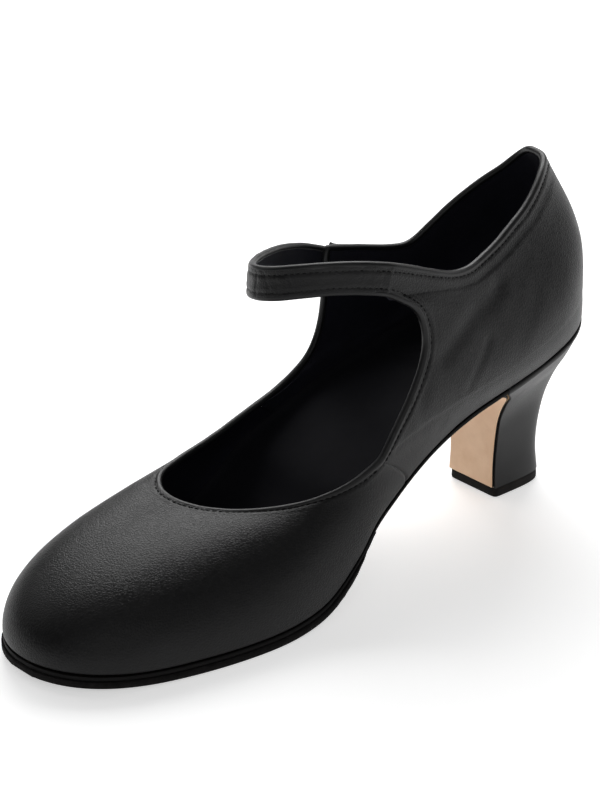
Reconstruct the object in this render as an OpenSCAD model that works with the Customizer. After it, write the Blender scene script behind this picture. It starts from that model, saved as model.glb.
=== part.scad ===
// Character-style dance shoe, right foot: leather upper with one instep strap, flared covered heel,
// full sole with a forepart tread, and a quick-release buckle on the outer side.
// Base frame used by every function below: x from the heel back to the toe tip, +y towards the inner
// (medial) side, z up from the ground. place() turns base sizes into the sizes set here.

/* [Overall] */
// length from heel back to toe tip
shoe_len = 233; // [185:1:285]
// width across the ball of the upper, measured at the sole
ball_width = 77.5; // [62:0.5:94]
// height of the heel seat at the very back
heel_height = 64; // [50:1:78]

/* [Upper] */
// thickness of the outer leather
leather_t = 1.1; // [0.8:0.1:1.6]
// thickness of the lining leather
lining_t = 0.8; // [0.5:0.1:1.2]
// thickness of the toe puff and of the heel counter
stiff_t = 0.8; // [0.5:0.1:1.2]
// radius of the rolled edge along every opening
bead_r = 1.0; // [0.8:0.05:1.4]

/* [Bottom] */
// thickness of the full-length sole
sole_t = 1.5; // [1.2:0.1:2.4]
// thickness of the forepart tread
tread_t = 2.4; // [1.8:0.05:4]
// how far the tread edge stands out past the upper
welt_out = 0.6; // [0:0.1:1.5]
// thickness of the insole board
board_t = 1.6; // [1.2:0.1:2.4]
// thickness of the layer that holds the shank and the filler
under_t = 2.0; // [1.6:0.1:3]
// thickness of the sock liner
sock_t = 0.8; // [0.5:0.1:1.5]

/* [Heel] */
// thickness of the replaceable top piece
lift_t = 3.5; // [2.5:0.1:6]
// thickness of the leather that covers the heel
cover_t = 0.8; // [0.5:0.1:1.2]
// thickness of the breast flap
flap_t = 1.2; // [0.8:0.1:2]

/* [Strap] */
// full width of the strap with its two rolled edges
strap_w = 11.2; // [9:0.2:14]
// gap between the strap root and the quarter it turns on
root_gap = 0.8; // [0.6:0.05:1.2]
// radius of the buckle bar that the prong turns on
bar_r = 0.7; // [0.6:0.05:1]
// running clearance of the prong eye on that bar
eye_gap = 0.05; // [0.03:0.01:0.1]

/* [Node] */
// which node to draw

/* [Hidden] */
$fn = 32;
fit = 0.06;
kx = shoe_len / 233;
ky = ball_width / 77.5;
heel_up = heel_height - 64;
sink = 0.35;
stack_t = sink + sole_t + fit + tread_t;
seat_low = 4.31;
stack_up = stack_t - seat_low;
row_x = 115.85 * kx;
row_y = -0.6 * ky;
lay = leather_t + fit + lining_t;
bead = bead_r + 0.05;
seam_x = 101;
nu_v = 40;
nv_v = 9;
nu_q = 16;
nv_q = 14;
nu_s = 34;
nu_b = 30;
nh = 22;

// ---------- curves ----------
function unit(v) = v / max(norm(v), 0.000001);
function clamp(v, a, b) = min(max(v, a), b);
function lerp(a, b, t) = a * (1 - t) + b * t;
function ease(t) = let (c = clamp(t, 0, 1)) c * c * (3 - 2 * c);
function slope(p, i) =
    let (a = max(i - 1, 0), b = min(i + 1, len(p) - 1))
    (p[b][1] - p[a][1]) / (p[b][0] - p[a][0]);
function span_of(p, x, i = 0) =
    (i >= len(p) - 2 || x < p[i + 1][0]) ? i : span_of(p, x, i + 1);
// smooth curve through stations [parameter, value]
function track(p, x) =
    let (i = span_of(p, x), h = p[i + 1][0] - p[i][0], t = (x - p[i][0]) / h,
         a = p[i][1], b = p[i + 1][1], ma = slope(p, i) * h, mb = slope(p, i + 1) * h)
    (2*t*t*t - 3*t*t + 1) * a + (t*t*t - 2*t*t + t) * ma
    + (3*t*t - 2*t*t*t) * b + (t*t*t - t*t) * mb;
function run(p, i) = i == 0 ? 0 : run(p, i - 1) + norm(p[i] - p[i - 1]);
// stations 0 to 1 by distance along a list of points
function spread(p) =
    let (all = run(p, len(p) - 1)) [for (i = [0:len(p) - 1]) [run(p, i) / all, p[i]]];

// ---------- bottom profile and outline of the last, base sizes ----------
seat_line = [[0, 64], [20, 57.8], [44, 52.2], [68, 47.5], [88, 41.2], [107.5, 31.4], [116, 26.2],
    [124, 18], [137, 8.6], [150, 5.2], [170, 4.31], [200, 5], [233, 7.5]];
inner_half = [[0, 30], [30, 27.5], [68, 27.5], [97, 30.5], [124, 35.2], [158, 38.3], [200, 35.5],
    [233, 34]];
outer_half = [[0, 30], [30, 27.5], [68, 28.5], [97, 32], [124, 37], [145, 39.2], [175, 38.8],
    [200, 37], [233, 34]];
function seat(x) = track(seat_line, x);
function ends(x) = sqrt((1 - exp(-max(x, 0) / 15)) * (1 - exp(-max(233 - x, 0) / 20)));
function half_w(x, side) = track(side > 0 ? inner_half : outer_half, x) * ends(x);
function foot_pt(x, side) = [x, side * half_w(x, side), seat(x)];
// once round the sole edge: 0 heel, 90 inner side, 180 toe, 270 outer side
function loop(psi) = foot_pt(116.5 * (1 - cos(psi)), psi <= 180 ? 1 : -1);
seam_psi = acos(1 - seam_x / 116.5);
function rise_part(x) = clamp((seat(clamp(x, 0, 233)) - seat_low) / (64 - seat_low), 0, 1);
// base size to real size, in the row frame
function place(p) = [p[0] * kx - row_x, p[1] * ky - row_y, p[2] + stack_up + heel_up * rise_part(p[0])];

// ---------- vamp ----------
throat = spread([[116, 35.5, 49], [127, 31.3, 43.8], [138, 24.5, 39.3], [149, 15.5, 36.8],
    [158, 6, 36], [163.5, -4, 36.3], [165, -12.5, 37.6], [159, -21, 38.5], [147, -25.5, 39.3],
    [131, -28.5, 41.3], [113, -30.5, 45.5]]);
function bez(a, b, c, d, v) =
    a * pow(1 - v, 3) + b * 3 * v * pow(1 - v, 2) + c * 3 * v * v * (1 - v) + d * pow(v, 3);
function vamp_pt(a, v) =
    let (psi = seam_psi + (360 - 2 * seam_psi) * a,
         f = loop(psi), t = track(throat, a),
         d = loop(psi + 0.5) - loop(psi - 0.5), n = unit([d[1], -d[0], 0]),
         toe = exp(-pow((a - 0.5) / 0.26, 2)), h = t[2] - f[2],
         flat = [f[0] - t[0], f[1] - t[1], 0],
         c1 = f + [0, 0, h * (0.42 + 0.24 * toe)] - n * (1.2 + 0.8 * toe),
         c2 = t + flat * (0.34 + 0.22 * toe) - [0, 0, h * (0.26 - 0.22 * toe)])
    bez(f, c1, c2, t, v);

// ---------- strap ----------
strap_top = spread([[105.6, 29, 112.1], [113.3, 27, 113.9], [120.4, 24, 114.9], [127, 19.5, 114.9],
    [132.5, 13.5, 114], [136, 6.5, 112.3], [136.7, 0, 110.8], [134.5, -6, 109.3],
    [129, -12.5, 107], [121, -19, 104.7], [110, -26, 101.6], [99, -31.8, 98.3],
    [88, -35.2, 94.8], [80, -36, 91.7], [70, -36.6, 87.2], [58.5, -36.6, 82], [47, -36.6, 76.8]]);
function strap_dir(t) = unit(track(strap_top, min(t + 0.004, 1)) - track(strap_top, max(t - 0.004, 0)));
function strap_down(t) =
    let (d = strap_dir(t), w = [0.1 * exp(-pow((t - 0.36) / 0.2, 2)), 0, -1])
    unit(w - d * (w * d));
function strap_pt(t, w) = track(strap_top, t) + strap_down(t) * (w * strap_w);

// ---------- quarters ----------
back_line = [[0, [0, 0, 64]], [0.15, [-1.3, 0, 72]], [0.32, [-1.6, 0, 82]], [0.5, [0.3, 0, 92]],
    [0.7, [4.6, 0, 103]], [0.87, [9.9, 0, 113]], [1, [14, 0, 120]]];
top_inner = spread([[14, 0, 120], [15, 4.5, 120], [17.8, 8.6, 119.4], [23.6, 13, 117.6],
    [29.2, 16, 114.6], [37.2, 19, 110.4], [45.5, 21, 106.9], [53.8, 23, 103.7], [63.2, 25, 101.2],
    [69.8, 26.5, 100.3], [77.2, 27.5, 101.1], [85.6, 28.5, 104.1], [98.4, 29, 109.3],
    [105.6, 29, 112.1]]);
top_outer = spread([[14, 0, 120], [12.8, -4.5, 119], [12.8, -9, 116], [16, -14, 110.5],
    [22.1, -18.7, 105.2], [30.4, -23.2, 98.2], [39, -26, 91.2], [45.6, -28, 86.3], [54, -29, 87],
    [66, -30, 90], [82.5, -30, 94.3]]);
notch_inner = [[0.2, [116, 35.5, 49]], [0.32, [109.9, 35, 57.5]], [0.45, [99.8, 33.2, 69.5]],
    [0.6, [93.6, 31.3, 80.5]], [0.72, [94.3, 30.2, 90]], [0.79, [98.2, 30, 95.2]],
    [0.84, [103.2, 29.6, 98.8]], [0.89, strap_pt(0, 1)]];
notch_outer = [[0.2, [113, -30.5, 45.5]], [0.3, [101, -31.5, 48.7]], [0.42, [90, -31.8, 54.5]],
    [0.53, [84.5, -31.8, 62.5]], [0.66, [82.4, -31.4, 74]], [0.89, [82.4, -30.4, 87]]];
function edge_pt(side, v) =
    v <= 0.2 ? vamp_pt(side > 0 ? 0 : 1, v * 5)
    : v <= 0.89 ? track(side > 0 ? notch_inner : notch_outer, v)
    : lerp(side > 0 ? strap_pt(0, 1) : [82.4, -30.4, 87],
           side > 0 ? strap_pt(0, 0) : [82.5, -30, 94.3], (v - 0.89) / 0.11);
function top_pt(side, s) =
    track(side > 0 ? top_inner : top_outer, 0.35 * (1 - cos(90 * s)) + 0.65 * s);
function low_pt(side, s) = foot_pt(seam_x * (1 - cos(90 * s)), side);
// a four-sided patch between sole edge, back seam, top line and front edge, filled out at the side
function quarter_pt(side, s, v) =
    let (b = low_pt(side, s), u = top_pt(side, s), k = track(back_line, v), e = edge_pt(side, v),
         full = 24.3 * v * (1 - v) * (1 - v) * sin(180 * s))
    b * (1 - v) + u * v + k * (1 - s) + e * s
    - (low_pt(side, 0) * (1 - s) * (1 - v) + low_pt(side, 1) * s * (1 - v)
       + top_pt(side, 0) * (1 - s) * v + top_pt(side, 1) * s * v)
    + [0, side * full, 0];

// ---------- grids and closed solids ----------
// unit normal of a grid at i, j; the first row can be held in the plane y = const
function grid_n(g, i, j, flip, hold) =
    let (nu = len(g) - 1, nv = len(g[0]) - 1,
         a = g[min(i + 1, nu)][j] - g[max(i - 1, 0)][j],
         b = g[i][min(j + 1, nv)] - g[i][max(j - 1, 0)],
         n = cross(a, b) * (flip ? -1 : 1))
    unit(hold && i == 0 ? [n[0], 0, n[2]] : n);
// the grid moved inwards; depth is a number or a table of numbers
function sunk(g, depth, flip, hold = false) =
    [for (i = [0:len(g) - 1]) [for (j = [0:len(g[0]) - 1])
        g[i][j] - grid_n(g, i, j, flip, hold) * (is_num(depth) ? depth : depth[i][j])]];
function part_of(g, i0, i1, j0, j1) = [for (i = [i0:i1]) [for (j = [j0:j1]) g[i][j]]];
function flat_list(g) = [for (r = g) for (p = r) p];
function quads(nu, nv, o, rev, alt = 0) =
    [for (i = [0:nu - 1]) for (j = [0:nv - 1])
        let (a = o + i * (nv + 1) + j, b = a + 1, c = a + nv + 2, d = a + nv + 1,
             t0 = i < alt ? [a, b, d] : [a, b, c], t1 = i < alt ? [b, c, d] : [a, c, d])
        for (t = [t0, t1]) rev ? [t[0], t[2], t[1]] : t];
function wall(p, q, rev) =
    [for (k = [0:len(p) - 2])
        for (t = rev ? [[p[k], q[k], q[k + 1]], [p[k], q[k + 1], p[k + 1]]]
                     : [[p[k], q[k + 1], q[k]], [p[k], p[k + 1], q[k + 1]]]) t];
// closed solid between two grids of the same size; its first alt rows split the other way
module slab(a, b, rev = false, alt = 0) {
    nu = len(a) - 1;
    nv = len(a[0]) - 1;
    m = (nu + 1) * (nv + 1);
    s0 = [for (j = [0:nv]) j];
    s1 = [for (j = [0:nv]) nu * (nv + 1) + j];
    e0 = [for (i = [0:nu]) i * (nv + 1)];
    e1 = [for (i = [0:nu]) i * (nv + 1) + nv];
    faces = concat(quads(nu, nv, 0, rev, alt), quads(nu, nv, m, !rev, alt),
        wall(s0, [for (k = s0) k + m], !rev), wall(s1, [for (k = s1) k + m], rev),
        wall(e0, [for (k = e0) k + m], rev), wall(e1, [for (k = e1) k + m], !rev));
    polyhedron(points = concat(flat_list(a), flat_list(b)), faces = faces, convexity = 8);
}
// closed solid through a list of rings, with a fan on each end
module loft(rings, rev = true, top_drop = 0) {
    m = len(rings);
    n = len(rings[0]);
    mid0 = [for (k = [0:2]) sum_of([for (p = rings[0]) p[k]]) / n];
    mid1 = [for (k = [0:2]) sum_of([for (p = rings[m - 1]) p[k]]) / n - (k == 2 ? top_drop : 0)];
    side = [for (i = [0:m - 2]) for (j = [0:n - 1])
        let (a = i * n + j, b = i * n + (j + 1) % n, c = b + n, d = a + n)
        for (t = rev ? [[a, c, b], [a, d, c]] : [[a, b, c], [a, c, d]]) t];
    cap0 = [for (j = [0:n - 1]) rev ? [m * n, j, (j + 1) % n] : [m * n, (j + 1) % n, j]];
    cap1 = [for (j = [0:n - 1]) let (a = (m - 1) * n + j, b = (m - 1) * n + (j + 1) % n)
        rev ? [m * n + 1, b, a] : [m * n + 1, a, b]];
    polyhedron(points = concat(flat_list(rings), [mid0, mid1]),
        faces = concat(side, cap0, cap1), convexity = 8);
}
function sum_of(v, i = 0) = i >= len(v) ? 0 : v[i] + sum_of(v, i + 1);
// round bead along a path; up is the direction the edge faces at each path point
function path_dir(p, i) = unit(p[min(i + 1, len(p) - 1)] - p[max(i - 1, 0)]);
function bead_rings(path, up, r, n) =
    [for (i = [0:len(path) - 1])
        let (d = path_dir(path, i), u = unit(up[i] - d * (up[i] * d)), w = cross(d, u))
        [for (k = [0:n - 1]) path[i] + (u * cos(360 * k / n) + w * sin(360 * k / n)) * r]];
module bead_on(a, b, back, r = bead_r, n = 7, lift = 0.12) {
    mid = (a + b) / 2;
    up = [for (i = [0:len(a) - 1])
        let (d = path_dir(mid, i), v = a[i] - back[i]) unit(v - d * (v * d))];
    path = [for (i = [0:len(a) - 1]) mid[i] + up[i] * (r + lift)];
    loft(bead_rings(path, up, r, n));
}

// ---------- shared grids of the upper ----------
v_top = 0.95;
vamp_g = [for (i = [0:nu_v]) [for (j = [0:nv_v])
    place(vamp_pt(0.001 + 0.998 * i / nu_v, 0.004 + (v_top - 0.004) * j / nv_v))]];
function puff_mask(i, j) =
    ease((0.5 - abs(i / nu_v - 0.5) - 0.22) / 0.12) * ease((0.75 - j / nv_v) / 0.35);
vamp_pad = [for (i = [0:nu_v]) [for (j = [0:nv_v]) stiff_t * puff_mask(i, j)]];
function pull(v) = 0.026 * ease((v - 0.2) / 0.05) * ease((0.9 - v) / 0.06);
function quarter_g(side) = [for (i = [0:nu_q]) [for (j = [0:nv_q])
    let (v = j / nv_q, s = i / nu_q * (1 - pull(v)),
         p = place(quarter_pt(side, s, 0.004 + 0.956 * v)))
    i == 0 ? [p[0], -row_y + side * 0.06, p[2]] : p]];
quarter_m = quarter_g(1);
quarter_l = quarter_g(-1);
function counter_mask(i, j) = ease((0.66 - i / nu_q) / 0.3) * ease((0.66 - j / nv_q) / 0.3);
quarter_pad = [for (i = [0:nu_q]) [for (j = [0:nv_q]) stiff_t * counter_mask(i, j)]];
function plus(t, k) = [for (r = t) [for (x = r) x + k]];

module vamp()
    color([0.10, 0.10, 0.11]) slab(vamp_g, sunk(vamp_g, leather_t, true), true);
module vamp_lining()
    color([0.07, 0.07, 0.10])
        slab(sunk(vamp_g, plus(vamp_pad, leather_t + 2 * fit), true),
             sunk(vamp_g, plus(vamp_pad, lay + fit), true), true);
module toe_puff() {
    a = part_of(sunk(vamp_g, leather_t + fit, true), 10, 30, 0, 6);
    b = part_of(sunk(vamp_g, plus(vamp_pad, leather_t + fit + 0.005), true), 10, 30, 0, 6);
    color([0.75, 0.72, 0.62]) slab(a, b, true);
}
module quarter_medial()
    color([0.10, 0.10, 0.11]) slab(quarter_m, sunk(quarter_m, leather_t, true, true), true);
module quarter_lateral()
    color([0.10, 0.10, 0.11]) slab(quarter_l, sunk(quarter_l, leather_t, false, true));
module quarter_lining_medial()
    color([0.07, 0.07, 0.10])
        slab(sunk(quarter_m, plus(quarter_pad, leather_t + 2 * fit), true, true),
             sunk(quarter_m, plus(quarter_pad, lay + fit), true, true), true);
module quarter_lining_lateral()
    color([0.07, 0.07, 0.10])
        slab(sunk(quarter_l, plus(quarter_pad, leather_t + 2 * fit), false, true),
             sunk(quarter_l, plus(quarter_pad, lay + fit), false, true));
module heel_counter() {
    m0 = part_of(sunk(quarter_m, leather_t + fit, true, true), 0, 9, 0, 8);
    m1 = part_of(sunk(quarter_m, plus(quarter_pad, leather_t + fit + 0.005), true, true), 0, 9, 0, 8);
    l0 = part_of(sunk(quarter_l, leather_t + fit, false, true), 0, 9, 0, 8);
    l1 = part_of(sunk(quarter_l, plus(quarter_pad, leather_t + fit + 0.005), false, true), 0, 9, 0, 8);
    color([0.75, 0.72, 0.62])
        slab([for (k = [0:19]) k < 10 ? l0[9 - k] : m0[k - 10]],
             [for (k = [0:19]) k < 10 ? l1[9 - k] : m1[k - 10]], true, 9);
}

// ---------- rolled edges ----------
lin_v = sunk(vamp_g, lay + fit, true);
lin_m = sunk(quarter_m, lay + fit, true, true);
lin_l = sunk(quarter_l, lay + fit, false, true);
module throat_bead()
    color([0.13, 0.13, 0.14])
        bead_on([for (i = [1:nu_v - 1]) vamp_g[i][nv_v]], [for (i = [1:nu_v - 1]) lin_v[i][nv_v]],
                [for (i = [1:nu_v - 1]) vamp_g[i][nv_v - 1]]);
module notch_bead(g, l, lift)
    bead_on([for (j = [5:12]) g[nu_q][j]], [for (j = [5:12]) l[nu_q][j]],
            [for (j = [5:12]) g[nu_q - 1][j]], lift = lift);
module notch_bead_medial()
    color([0.13, 0.13, 0.14]) notch_bead(quarter_m, lin_m, 0.35);
module notch_bead_lateral()
    color([0.13, 0.13, 0.14]) notch_bead(quarter_l, lin_l, 0.75);
// once round the collar, from the outer tab over the heel back to the strap root
function round_top(l, m, j) =
    [for (k = [0:2 * nu_q]) k <= nu_q ? l[nu_q - k][j] : m[k - nu_q][j]];
module collar_bead() {
    a = round_top(quarter_l, quarter_m, nv_q);
    b = round_top(lin_l, lin_m, nv_q);
    c = round_top(quarter_l, quarter_m, nv_q - 1);
    color([0.13, 0.13, 0.14]) bead_on(a, b, c);
}

// ---------- sole and insoles ----------
// every layer of the bottom has its rows at the same stations along the shoe, so that they stack
stations = [for (k = [0:36]) 116.5 * (1 - cos(5 * k))];
function along(x0, x1) =
    concat([x0], [for (x = stations) if (x > x0 + 0.3 && x < x1 - 0.3) x], [x1]);
function angle_at(x) = acos(clamp(1 - x / 116.5, -1, 1));
// half width at x of an outline that stands out (or in, below 0) from the last's outline
function half_at(x, side, out) =
    let (x1 = clamp(x + cos(angle_at(clamp(x, 0, 233))) * out / kx, 0.04, 232.96))
    half_w(x1, side) * ky + sin(angle_at(x1)) * out;
// one row across the sole at x; out widens it, dz moves it off the seat
function row(x, out, dz, cuts = [0, 0.5, 1]) =
    let (p = place([x, 0, seat(clamp(x, 0, 233))]), m = half_at(x, 1, out), l = half_at(x, -1, out))
    [for (c = cuts) [p[0], p[1] + lerp(-l, m, c), p[2] + dz]];
function rows(x0, x1, out, dz) = [for (x = along(x0, x1)) row(x, out, dz)];
module plate(x0, x1, out, z0, z1)
    slab(rows(x0, x1, out, z1), rows(x0, x1, out, z0));
x_lo = 0.15;
x_hi = 232.85;
z_sole = -sink - sole_t;
z_under = -sink + fit;
z_board = z_under + under_t + fit;
z_sock = z_board + board_t + fit;
thick_in = lay + 0.45 + stiff_t + 0.2;
function tight(x) = -(lay + 0.45 + (stiff_t + 0.2) * max(ease((62 - x) / 12), ease((x - 188) / 12)));
in_lo = (thick_in + 0.2) / kx;
in_hi = 233 - in_lo;
function in_rows(x0, x1, dz0, pad = 0) =
    [for (x = along(x0, x1)) row(x, tight(x), dz0 + pad * ease((66 - x) / 10))];
pad_t = 1.6;

module full_sole()
    color([0.08, 0.07, 0.07]) plate(x_lo, x_hi, 0, z_sole, -sink);
tread_x = stations[18];
tread_end = 233 + (welt_out - 0.15) / kx;
module tread_sole() {
    xs = along(tread_x, tread_end);
    color([0.14, 0.13, 0.13])
        slab([for (x = xs) row(x, welt_out, z_sole - fit)],
             [for (i = [0:len(xs) - 1])
                 row(xs[i], welt_out, z_sole - fit - tread_t * max(0.15, ease(i / 2)))]);
}
module insole_board()
    color([0.62, 0.48, 0.33])
        slab(in_rows(in_lo, in_hi, z_board + board_t), in_rows(in_lo, in_hi, z_board));
mid_x = stations[19];
module bottom_filler()
    color([0.55, 0.40, 0.25])
        slab(in_rows(mid_x + 0.1, in_hi, z_under + under_t), in_rows(mid_x + 0.1, in_hi, z_under));
groove_w = 12.6;
groove_t = 1.4;
// shank board: the middle of each row dips to leave a groove for the shank
function cuts_at(x) =
    let (m = half_at(x, 1, tight(x)), l = half_at(x, -1, tight(x)), c = l / (m + l),
         g = min(groove_w / 2 / (m + l), 0.3))
    [0, c - g - 0.004, c - g, c + g, c + g + 0.004, 1];
function groove_row(x, dz, deep) =
    let (p = row(x, tight(x), dz, cuts_at(x)), on = (x > 22 ? 1 : 0))
    [for (k = [0:5]) p[k] + [0, 0, (k == 2 || k == 3) ? deep * on : 0]];
module shank_board()
    color([0.66, 0.54, 0.40])
        slab([for (x = along(in_lo, mid_x)) groove_row(x, z_under + under_t, 0)],
             [for (x = along(in_lo, mid_x)) groove_row(x, z_under, groove_t)]);
function strip(x, w, dz) =
    let (p = place([x, 0, seat(x)])) [p - [0, w / 2, -dz], p + [0, w / 2, dz]];
module shank()
    color([0.60, 0.61, 0.63])
        slab([for (x = along(stations[9], stations[18])) strip(x, 11.6, z_under + 0.1 + 1.1)],
             [for (x = along(stations[9], stations[18])) strip(x, 11.6, z_under + 0.1)]);
function mid_pt(x) = let (s = strip(x, 0, 0)) s[0];
module upright(x, y, r, z0, z1)
    translate(mid_pt(x) + [0, y, z0]) cylinder(h = z1 - z0, r = r);
module shank_rivets()
    color([0.60, 0.61, 0.63]) {
        upright(44, 0, 1.6, z_under + 0.6, z_board + board_t - 0.6);
        upright(74, 0, 1.6, z_under + 0.6, z_board + board_t - 0.6);
    }
module heel_pad()
    color([0.30, 0.30, 0.32])
        slab(in_rows(in_lo, stations[12], z_sock + 0.06, pad_t), in_rows(in_lo, stations[12], z_sock));
module sock_liner()
    color([0.20, 0.20, 0.22])
        slab(in_rows(in_lo, in_hi, z_sock + 0.14 + sock_t, pad_t),
             in_rows(in_lo, in_hi, z_sock + 0.14, pad_t));

// ---------- heel ----------
heel_back = [[0, 12.3], [0.17, 13.4], [0.35, 13.2], [0.52, 11.4], [0.70, 7.6], [0.85, 3.4], [1, 0.3]];
heel_half = [[0, 11.2], [0.2, 10.8], [0.4, 11.6], [0.58, 13.6], [0.75, 18], [0.88, 23], [1, 27]];
heel_front = [[0, 38.2], [0.34, 38.4], [0.61, 39.8], [0.83, 43], [1, 50]];
// th goes from the inner breast edge (0) round the back (90) to the outer one (180)
function heel_plan(th, h) =
    let (b = track(heel_back, h), w = track(heel_half, h), f = track(heel_front, h),
         x = lerp(b, f, 1 - sin(th)), c = cos(th),
         y = w * sign(c) * sqrt(max(0, 1 - exp(-(x - b) / (0.31 * w)))))
    [x, abs(c) < 0.0001 ? 0 : y, 0];
function heel_pt(th, h) =
    let (p = heel_plan(th, h), t = place([p[0], p[1], seat(clamp(p[0], 0, 60))]),
         y = t[1] - 1.2 * (1 - h))
    [t[0], y, lerp(lift_t + fit + 0.15, t[2] + z_sole - 0.3, h)];
heel_g = [for (i = [0:nh]) [for (j = [0:11]) heel_pt(180 * i / nh, j / 11)]];
module heel_cover()
    color([0.10, 0.10, 0.11]) slab(heel_g, sunk(heel_g, cover_t, false));
module heel_block() {
    g = sunk(heel_g, [for (i = [0:nh]) [for (j = [0:11]) cover_t + fit + (j == 11 ? 0.6 : 0)]], false);
    rings = [for (j = [0:11]) [for (i = [0:nh])
        let (p = g[i][j]) [p[0], p[1], max(p[2] - (j == 11 ? 0.9 : 0), lift_t + fit)]]];
    color([0.62, 0.50, 0.36]) loft(rings, true, 2);
}
module top_piece() {
    p = [for (i = [0:nh]) let (q = heel_pt(180 * i / nh, 0)) [q[0], q[1]]];
    color([0.09, 0.08, 0.08]) linear_extrude(height = lift_t) polygon(p);
}
module top_piece_pin()
    color([0.60, 0.61, 0.63])
        translate([25 * kx - row_x, -row_y - 1.2, 1]) cylinder(h = lift_t + 9, r = 1.5);
module heel_screw()
    color([0.60, 0.61, 0.63]) upright(20, 0, 2.2, z_sole - 24, z_board + 0.8);
module heel_nails()
    color([0.60, 0.61, 0.63])
        for (p = [[9, 0], [14, 10], [14, -10], [32, 12], [32, -12]])
            upright(p[0], p[1], 0.8, z_sole - 12, z_board + 0.8);
function flap_row(h) =
    let (m = heel_pt(0, h), l = heel_pt(180, h)) [for (c = [0.045, 0.5, 0.955]) lerp(l, m, c)];
flap_g = [for (i = [0:14]) flap_row(0.02 + 0.955 * i / 14)];
module breast_flap()
    color([0.83, 0.70, 0.58])
        slab(sunk(flap_g, -fit, true), sunk(flap_g, -fit - flap_t, true));

// ---------- strap and buckle ----------
strap_len = run([for (s = strap_top) s[1]], len(strap_top) - 1);
t_root = (root_gap + 0.02) / strap_len;
w_in = (2 * bead_r + 0.16) / strap_w;
strap_g = [for (i = [0:nu_s]) [for (j = [0:3])
    place(strap_pt(lerp(t_root, 1, i / nu_s), lerp(w_in, 1 - w_in, j / 3)))]];
lin_s = sunk(strap_g, lay, false);
tail_p = place(strap_pt(1, 0.5));
bend_p = place([70, -36.6, 87.2] + strap_down(0.95) * strap_w / 2);
strap_a = atan2(bend_p[2] - tail_p[2], bend_p[0] - tail_p[0]);
buckle_p = tail_p + unit(bend_p - tail_p) * 19;
// local frame at the buckle: x forward along the strap, -y outwards, z across the strap
module at_buckle()
    translate(buckle_p) rotate([0, -strap_a, 0]) children();
pr_x = -7;
pr_y = 3.55;
eye_r = bar_r + eye_gap;
eye_o = eye_r + 0.5;
module prong_slot()
    at_buckle() translate([-8.8, -1, -1.1]) cube([5.4, 4, 2.2]);
module strap()
    color([0.10, 0.10, 0.11]) difference() {
        slab(strap_g, sunk(strap_g, leather_t, false));
        prong_slot();
    }
module strap_lining()
    color([0.07, 0.07, 0.10]) difference() {
        slab(sunk(strap_g, leather_t + fit, false), lin_s);
        prong_slot();
    }
module strap_bead(j, k)
    color([0.13, 0.13, 0.14])
        bead_on([for (r = strap_g) r[j]], [for (r = lin_s) r[j]], [for (r = strap_g) r[k]], bead_r, 6);
module strap_bead_top()
    strap_bead(0, 1);
module strap_bead_bottom()
    strap_bead(3, 2);
rail_z = strap_w / 2 + 0.35;
rail_t = 1.0;
module flat_bar(p, z0, z1)
    translate([0, 0, z0]) linear_extrude(height = z1 - z0) polygon(p);
module buckle_frame()
    color([0.78, 0.79, 0.81]) at_buckle() {
        for (z = [-rail_z - rail_t, rail_z])
            flat_bar([[-8.2, 2.3], [-5.8, 2.3], [6, -2.2], [8, -2.2], [8, -0.3], [6.2, -0.3],
                [-5.6, 4.4], [-8.2, 4.4]], z, z + rail_t);
        translate([pr_x, pr_y, -rail_z - 0.5]) cylinder(h = 2 * rail_z + 1, r = bar_r);
        translate([7, -1.25, -rail_z - 0.5]) cylinder(h = 2 * rail_z + 1, r = 0.95);
    }
module buckle_hook()
    color([0.78, 0.79, 0.81]) at_buckle() {
        for (z = [-rail_z - rail_t, rail_z])
            translate([-13, 2.3, z]) cube([4.7, 0.6, rail_t]);
        translate([-13, 2.3, -rail_z - rail_t]) cube([2.4, 0.6, 2 * (rail_z + rail_t)]);
        translate([-17.6, 2.3, -3.4]) cube([5, 0.6, 6.8]);
        translate([-17.6, 2.3, -3.4]) cube([0.9, 1.55, 6.8]);
    }
module buckle_prong()
    color([0.80, 0.81, 0.83]) at_buckle() difference() {
        union() {
            translate([pr_x, pr_y, -1.1]) cylinder(h = 2.2, r = eye_o);
            flat_bar([[-6.9, 2.45], [-5.0, -1.5], [8.4, -3.75], [8.4, -2.95], [-4.2, -0.75],
                [-5.8, 3.2]], -0.6, 0.6);
        }
        translate([pr_x, pr_y, -2]) cylinder(h = 4, r = eye_r);
    }
module catch_ring()
    color([0.78, 0.79, 0.81]) at_buckle() {
        for (x = [-14.6, -21])
            translate([x, 3.75, -6.2]) cylinder(h = 12.4, r = 0.6);
        for (z = [-5.4, 5.4])
            translate([-21, 3.75, z]) rotate([0, 90, 0]) cylinder(h = 6.4, r = 0.5);
    }
module elastic_loop()
    color([0.12, 0.12, 0.14]) at_buckle() difference() {
        union() {
            translate([-21, 3.75, -4.4]) cylinder(h = 8.8, r = 1.45);
            translate([-34, 4.4, -4.4]) cube([13, 0.8, 8.8]);
        }
        translate([-21, 3.75, -5]) cylinder(h = 10, r = 0.68);
    }

vamp();
quarter_medial();
quarter_lateral();
vamp_lining();
quarter_lining_medial();
quarter_lining_lateral();
toe_puff();
heel_counter();
throat_bead();
notch_bead_medial();
notch_bead_lateral();
collar_bead();
full_sole();
tread_sole();
insole_board();
bottom_filler();
shank_board();
shank();
shank_rivets();
heel_pad();
sock_liner();
heel_block();
heel_cover();
top_piece();
top_piece_pin();
heel_screw();
heel_nails();
breast_flap();
strap();
strap_lining();
strap_bead_top();
strap_bead_bottom();
buckle_frame();
buckle_hook();
buckle_prong();
catch_ring();
elastic_loop();
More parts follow.
